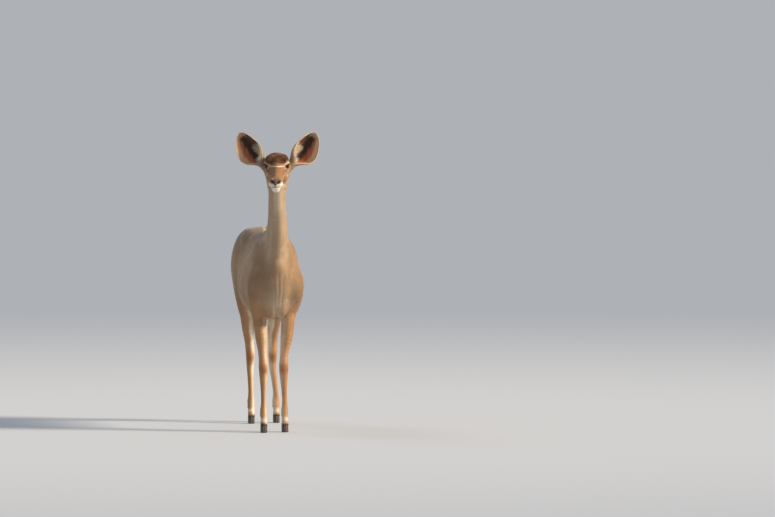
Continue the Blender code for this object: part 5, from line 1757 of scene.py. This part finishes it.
def eye_material():
    """A dark brown eye with a wide level pupil, wet and shining."""
    material, nodes, links = new_material("eye")
    shader = nodes["Principled BSDF"]
    place = nodes.new("ShaderNodeTexCoord").outputs["Object"]
    parts = nodes.new("ShaderNodeSeparateXYZ")
    links.new(place, parts.inputs["Vector"])

    def reach(across, up):
        """How far out a place is, in sizes of a rounded box of this half width and height."""
        shares = []
        for axis, size in (("X", across), ("Z", up)):
            scaled = worked_out(nodes, links, "MULTIPLY", parts.outputs[axis], 1 / size)
            absolute = worked_out(nodes, links, "ABSOLUTE", scaled)
            shares.append(worked_out(nodes, links, "POWER", absolute, 2.4))
        return worked_out(nodes, links, "ADD", *shares)

    iris = nodes.new("ShaderNodeValToRGB")
    stops = iris.color_ramp.elements
    stops[0].position, stops[0].color = 0.55, (*shade(58, 34, 21), 1)
    stops[1].position, stops[1].color = 1.0, (*shade(14, 9, 7), 1)
    links.new(reach(0.0125, 0.0125), iris.inputs["Fac"])
    pupil = nodes.new("ShaderNodeMapRange")
    pupil.inputs["From Min"].default_value = 0.75
    pupil.inputs["From Max"].default_value = 1.15
    links.new(reach(0.0088, 0.0048), pupil.inputs["Value"])
    mix = nodes.new("ShaderNodeMix")
    mix.data_type = "RGBA"
    mix.inputs["A"].default_value = (*shade(8, 7, 8), 1)
    links.new(pupil.outputs["Result"], mix.inputs["Factor"])
    links.new(iris.outputs["Color"], mix.inputs["B"])
    links.new(mix.outputs["Result"], shader.inputs["Base Color"])
    shader.inputs["Roughness"].default_value = 0.10
    shader.inputs["Specular IOR Level"].default_value = 0.25
    shader.inputs["Coat Weight"].default_value = 0.40
    shader.inputs["Coat Roughness"].default_value = 0.02
    return material


# Floor, light and camera


BACKGROUND = (0.85, 0.88, 0.93)
BACKGROUND_LIGHT = 0.50
PIXELS_PER_METRE = 167.0
PHOTO_WIDTH = 775
CHEST_COLUMN = 277.0
CAMERA_AWAY = 45.0
CAMERA_AZIMUTH = math.radians(-5)
CAMERA_HEIGHT = math.radians(2)
CHEST = Vector((0.0, -0.55, 1.045))


def floor_piece():
    """A wide pale floor that fades into the backdrop's own light."""
    rings, sides = [2.0, 5.0, 12.0, 40.0, 150.0, 600.0, 2500.0, 9000.0], 64
    points = [(0.0, 0.0, 0.0)]
    for radius in rings:
        points += ring_points(radius, 0.0, sides)
    faces = [(0, 1 + k, 1 + (k + 1) % sides) for k in range(sides)]
    for i in range(len(rings) - 1):
        for k in range(sides):
            a, b = 1 + i * sides + k, 1 + i * sides + (k + 1) % sides
            faces.append((a, a + sides, b + sides, b))
    mesh = bpy.data.meshes.new("floor")
    mesh.from_pydata(points, [], faces)
    item = bpy.data.objects.new("floor", mesh)
    bpy.context.scene.collection.objects.link(item)
    material, nodes, links = new_material("floor")
    shader = nodes["Principled BSDF"]
    shader.inputs["Base Color"].default_value = (0.49, 0.52, 0.57, 1)
    shader.inputs["Roughness"].default_value = 0.9
    shader.inputs["Specular IOR Level"].default_value = 0.1
    place = nodes.new("ShaderNodeTexCoord").outputs["Object"]
    length = nodes.new("ShaderNodeVectorMath")
    length.operation = "LENGTH"
    links.new(place, length.inputs[0])
    far = nodes.new("ShaderNodeMapRange")
    far.interpolation_type = "SMOOTHSTEP"
    far.inputs["From Min"].default_value = 1.5
    far.inputs["From Max"].default_value = 18.0
    links.new(length.outputs["Value"], far.inputs["Value"])
    glow = nodes.new("ShaderNodeEmission")
    glow.inputs["Color"].default_value = (*BACKGROUND, 1)
    glow.inputs["Strength"].default_value = BACKGROUND_LIGHT
    mix = nodes.new("ShaderNodeMixShader")
    links.new(far.outputs["Result"], mix.inputs["Fac"])
    links.new(shader.outputs["BSDF"], mix.inputs[1])
    links.new(glow.outputs["Emission"], mix.inputs[2])
    links.new(mix.outputs["Shader"], nodes["Material Output"].inputs["Surface"])
    item.data.materials.append(material)


def direction(azimuth, elevation):
    """From the object towards a viewer or lamp at these angles."""
    level = math.cos(elevation)
    return Vector((math.sin(azimuth) * level, -math.cos(azimuth) * level, math.sin(elevation)))


def lamp(name, azimuth, elevation, strength, angle, colour):
    """A far, wide and soft lamp, which lights the floor evenly."""
    light = bpy.data.lights.new(name, "SUN")
    light.energy = strength
    light.angle = math.radians(angle)
    light.color = colour
    item = bpy.data.objects.new(name, light)
    bpy.context.scene.collection.objects.link(item)
    back = direction(math.radians(azimuth), math.radians(elevation))
    item.location = Vector((0.0, -0.1, 1.0)) + back * 6
    item.rotation_mode = "QUATERNION"
    item.rotation_quaternion = (-back).to_track_quat("-Z", "Y")


def studio():
    """A warm key from the photo's sunny side, a weak cool lamp behind her, and light from all round."""
    lamp("key", 68, 27, 5.6, 14, (1.0, 0.84, 0.64))
    lamp("back", -140, 40, 0.6, 30, (0.86, 0.93, 1.0))
    world = bpy.data.worlds.new("studio")
    bpy.context.scene.world = world
    world.use_nodes = True
    world.node_tree.nodes["Background"].inputs["Color"].default_value = (*BACKGROUND, 1)
    world.node_tree.nodes["Background"].inputs["Strength"].default_value = BACKGROUND_LIGHT
    bpy.context.scene.view_settings.view_transform = "Standard"


def camera():
    """A long lens from the front, a little to her right and a little above, framed as the photo is."""
    back = direction(CAMERA_AZIMUTH, CAMERA_HEIGHT)
    right = Vector((math.cos(CAMERA_AZIMUTH), math.sin(CAMERA_AZIMUTH), 0.0))
    chest = CHEST + SHIFT_VECTOR
    lens = bpy.data.cameras.new("camera")
    lens.sensor_width = 36.0
    lens.lens = PIXELS_PER_METRE * CAMERA_AWAY / PHOTO_WIDTH * lens.sensor_width
    lens.clip_start, lens.clip_end = 0.5, 20000.0
    item = bpy.data.objects.new("camera", lens)
    bpy.context.scene.collection.objects.link(item)
    item.location = chest + back * CAMERA_AWAY
    target = chest + right * ((PHOTO_WIDTH / 2 - CHEST_COLUMN) / PIXELS_PER_METRE)
    item.rotation_mode = "QUATERNION"
    item.rotation_quaternion = (target - item.location).to_track_quat("-Z", "Y")
    bpy.context.scene.camera = item


# All of it

ALL_FORMS = body_forms() + head_forms()
SHIFT_VECTOR = (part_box("eye_left")[0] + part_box("eye_left")[1]) / 2 - eye_centre("left")
SHIFT = np.array(SHIFT_VECTOR)
BODY_STEP = 0.0110
HEAD_STEP = 0.0022
LEG_STEP = 0.0036
NECK_SEAM = 1.432
LEG_SEAM = 0.595
# Painted shade: the skin seen between the tufts is painted darker than the coat, by this share
SKIN_PAINTED_SHADE = 0.90
FLESH = ["head", "neck", "torso", "tail"]
FLESH += ["leg_" + end + side for end in ("front_", "hind_") for side in SIDES]
HAIR, SKIN, HORN, EYE_MATERIAL = hair_material(), skin_material(), horn_material(), eye_material()

studio()
camera()
floor_piece()
chances = np.random.default_rng(41)
skin_points, skin_triangles, skin_normals = skin_arrays(whole_skin())
# The skin carries the coat's markings, darkened as painted shade between the tufts
skin_colours = coat_colour(skin_points, skin_normals) * SKIN_PAINTED_SHADE
mesh_piece("skin", skin_points, skin_triangles, SKIN, skin_colours, stands_for=FLESH)
grow_coat(skin_points, skin_triangles, skin_normals, chances)
grow_locks((skin_points, skin_triangles, skin_normals), chances)
for ear_side in SIDES:
    ear_piece(ear_side, chances)
    eye_piece(ear_side)
    lashes(ear_side, chances)
feet_pieces()
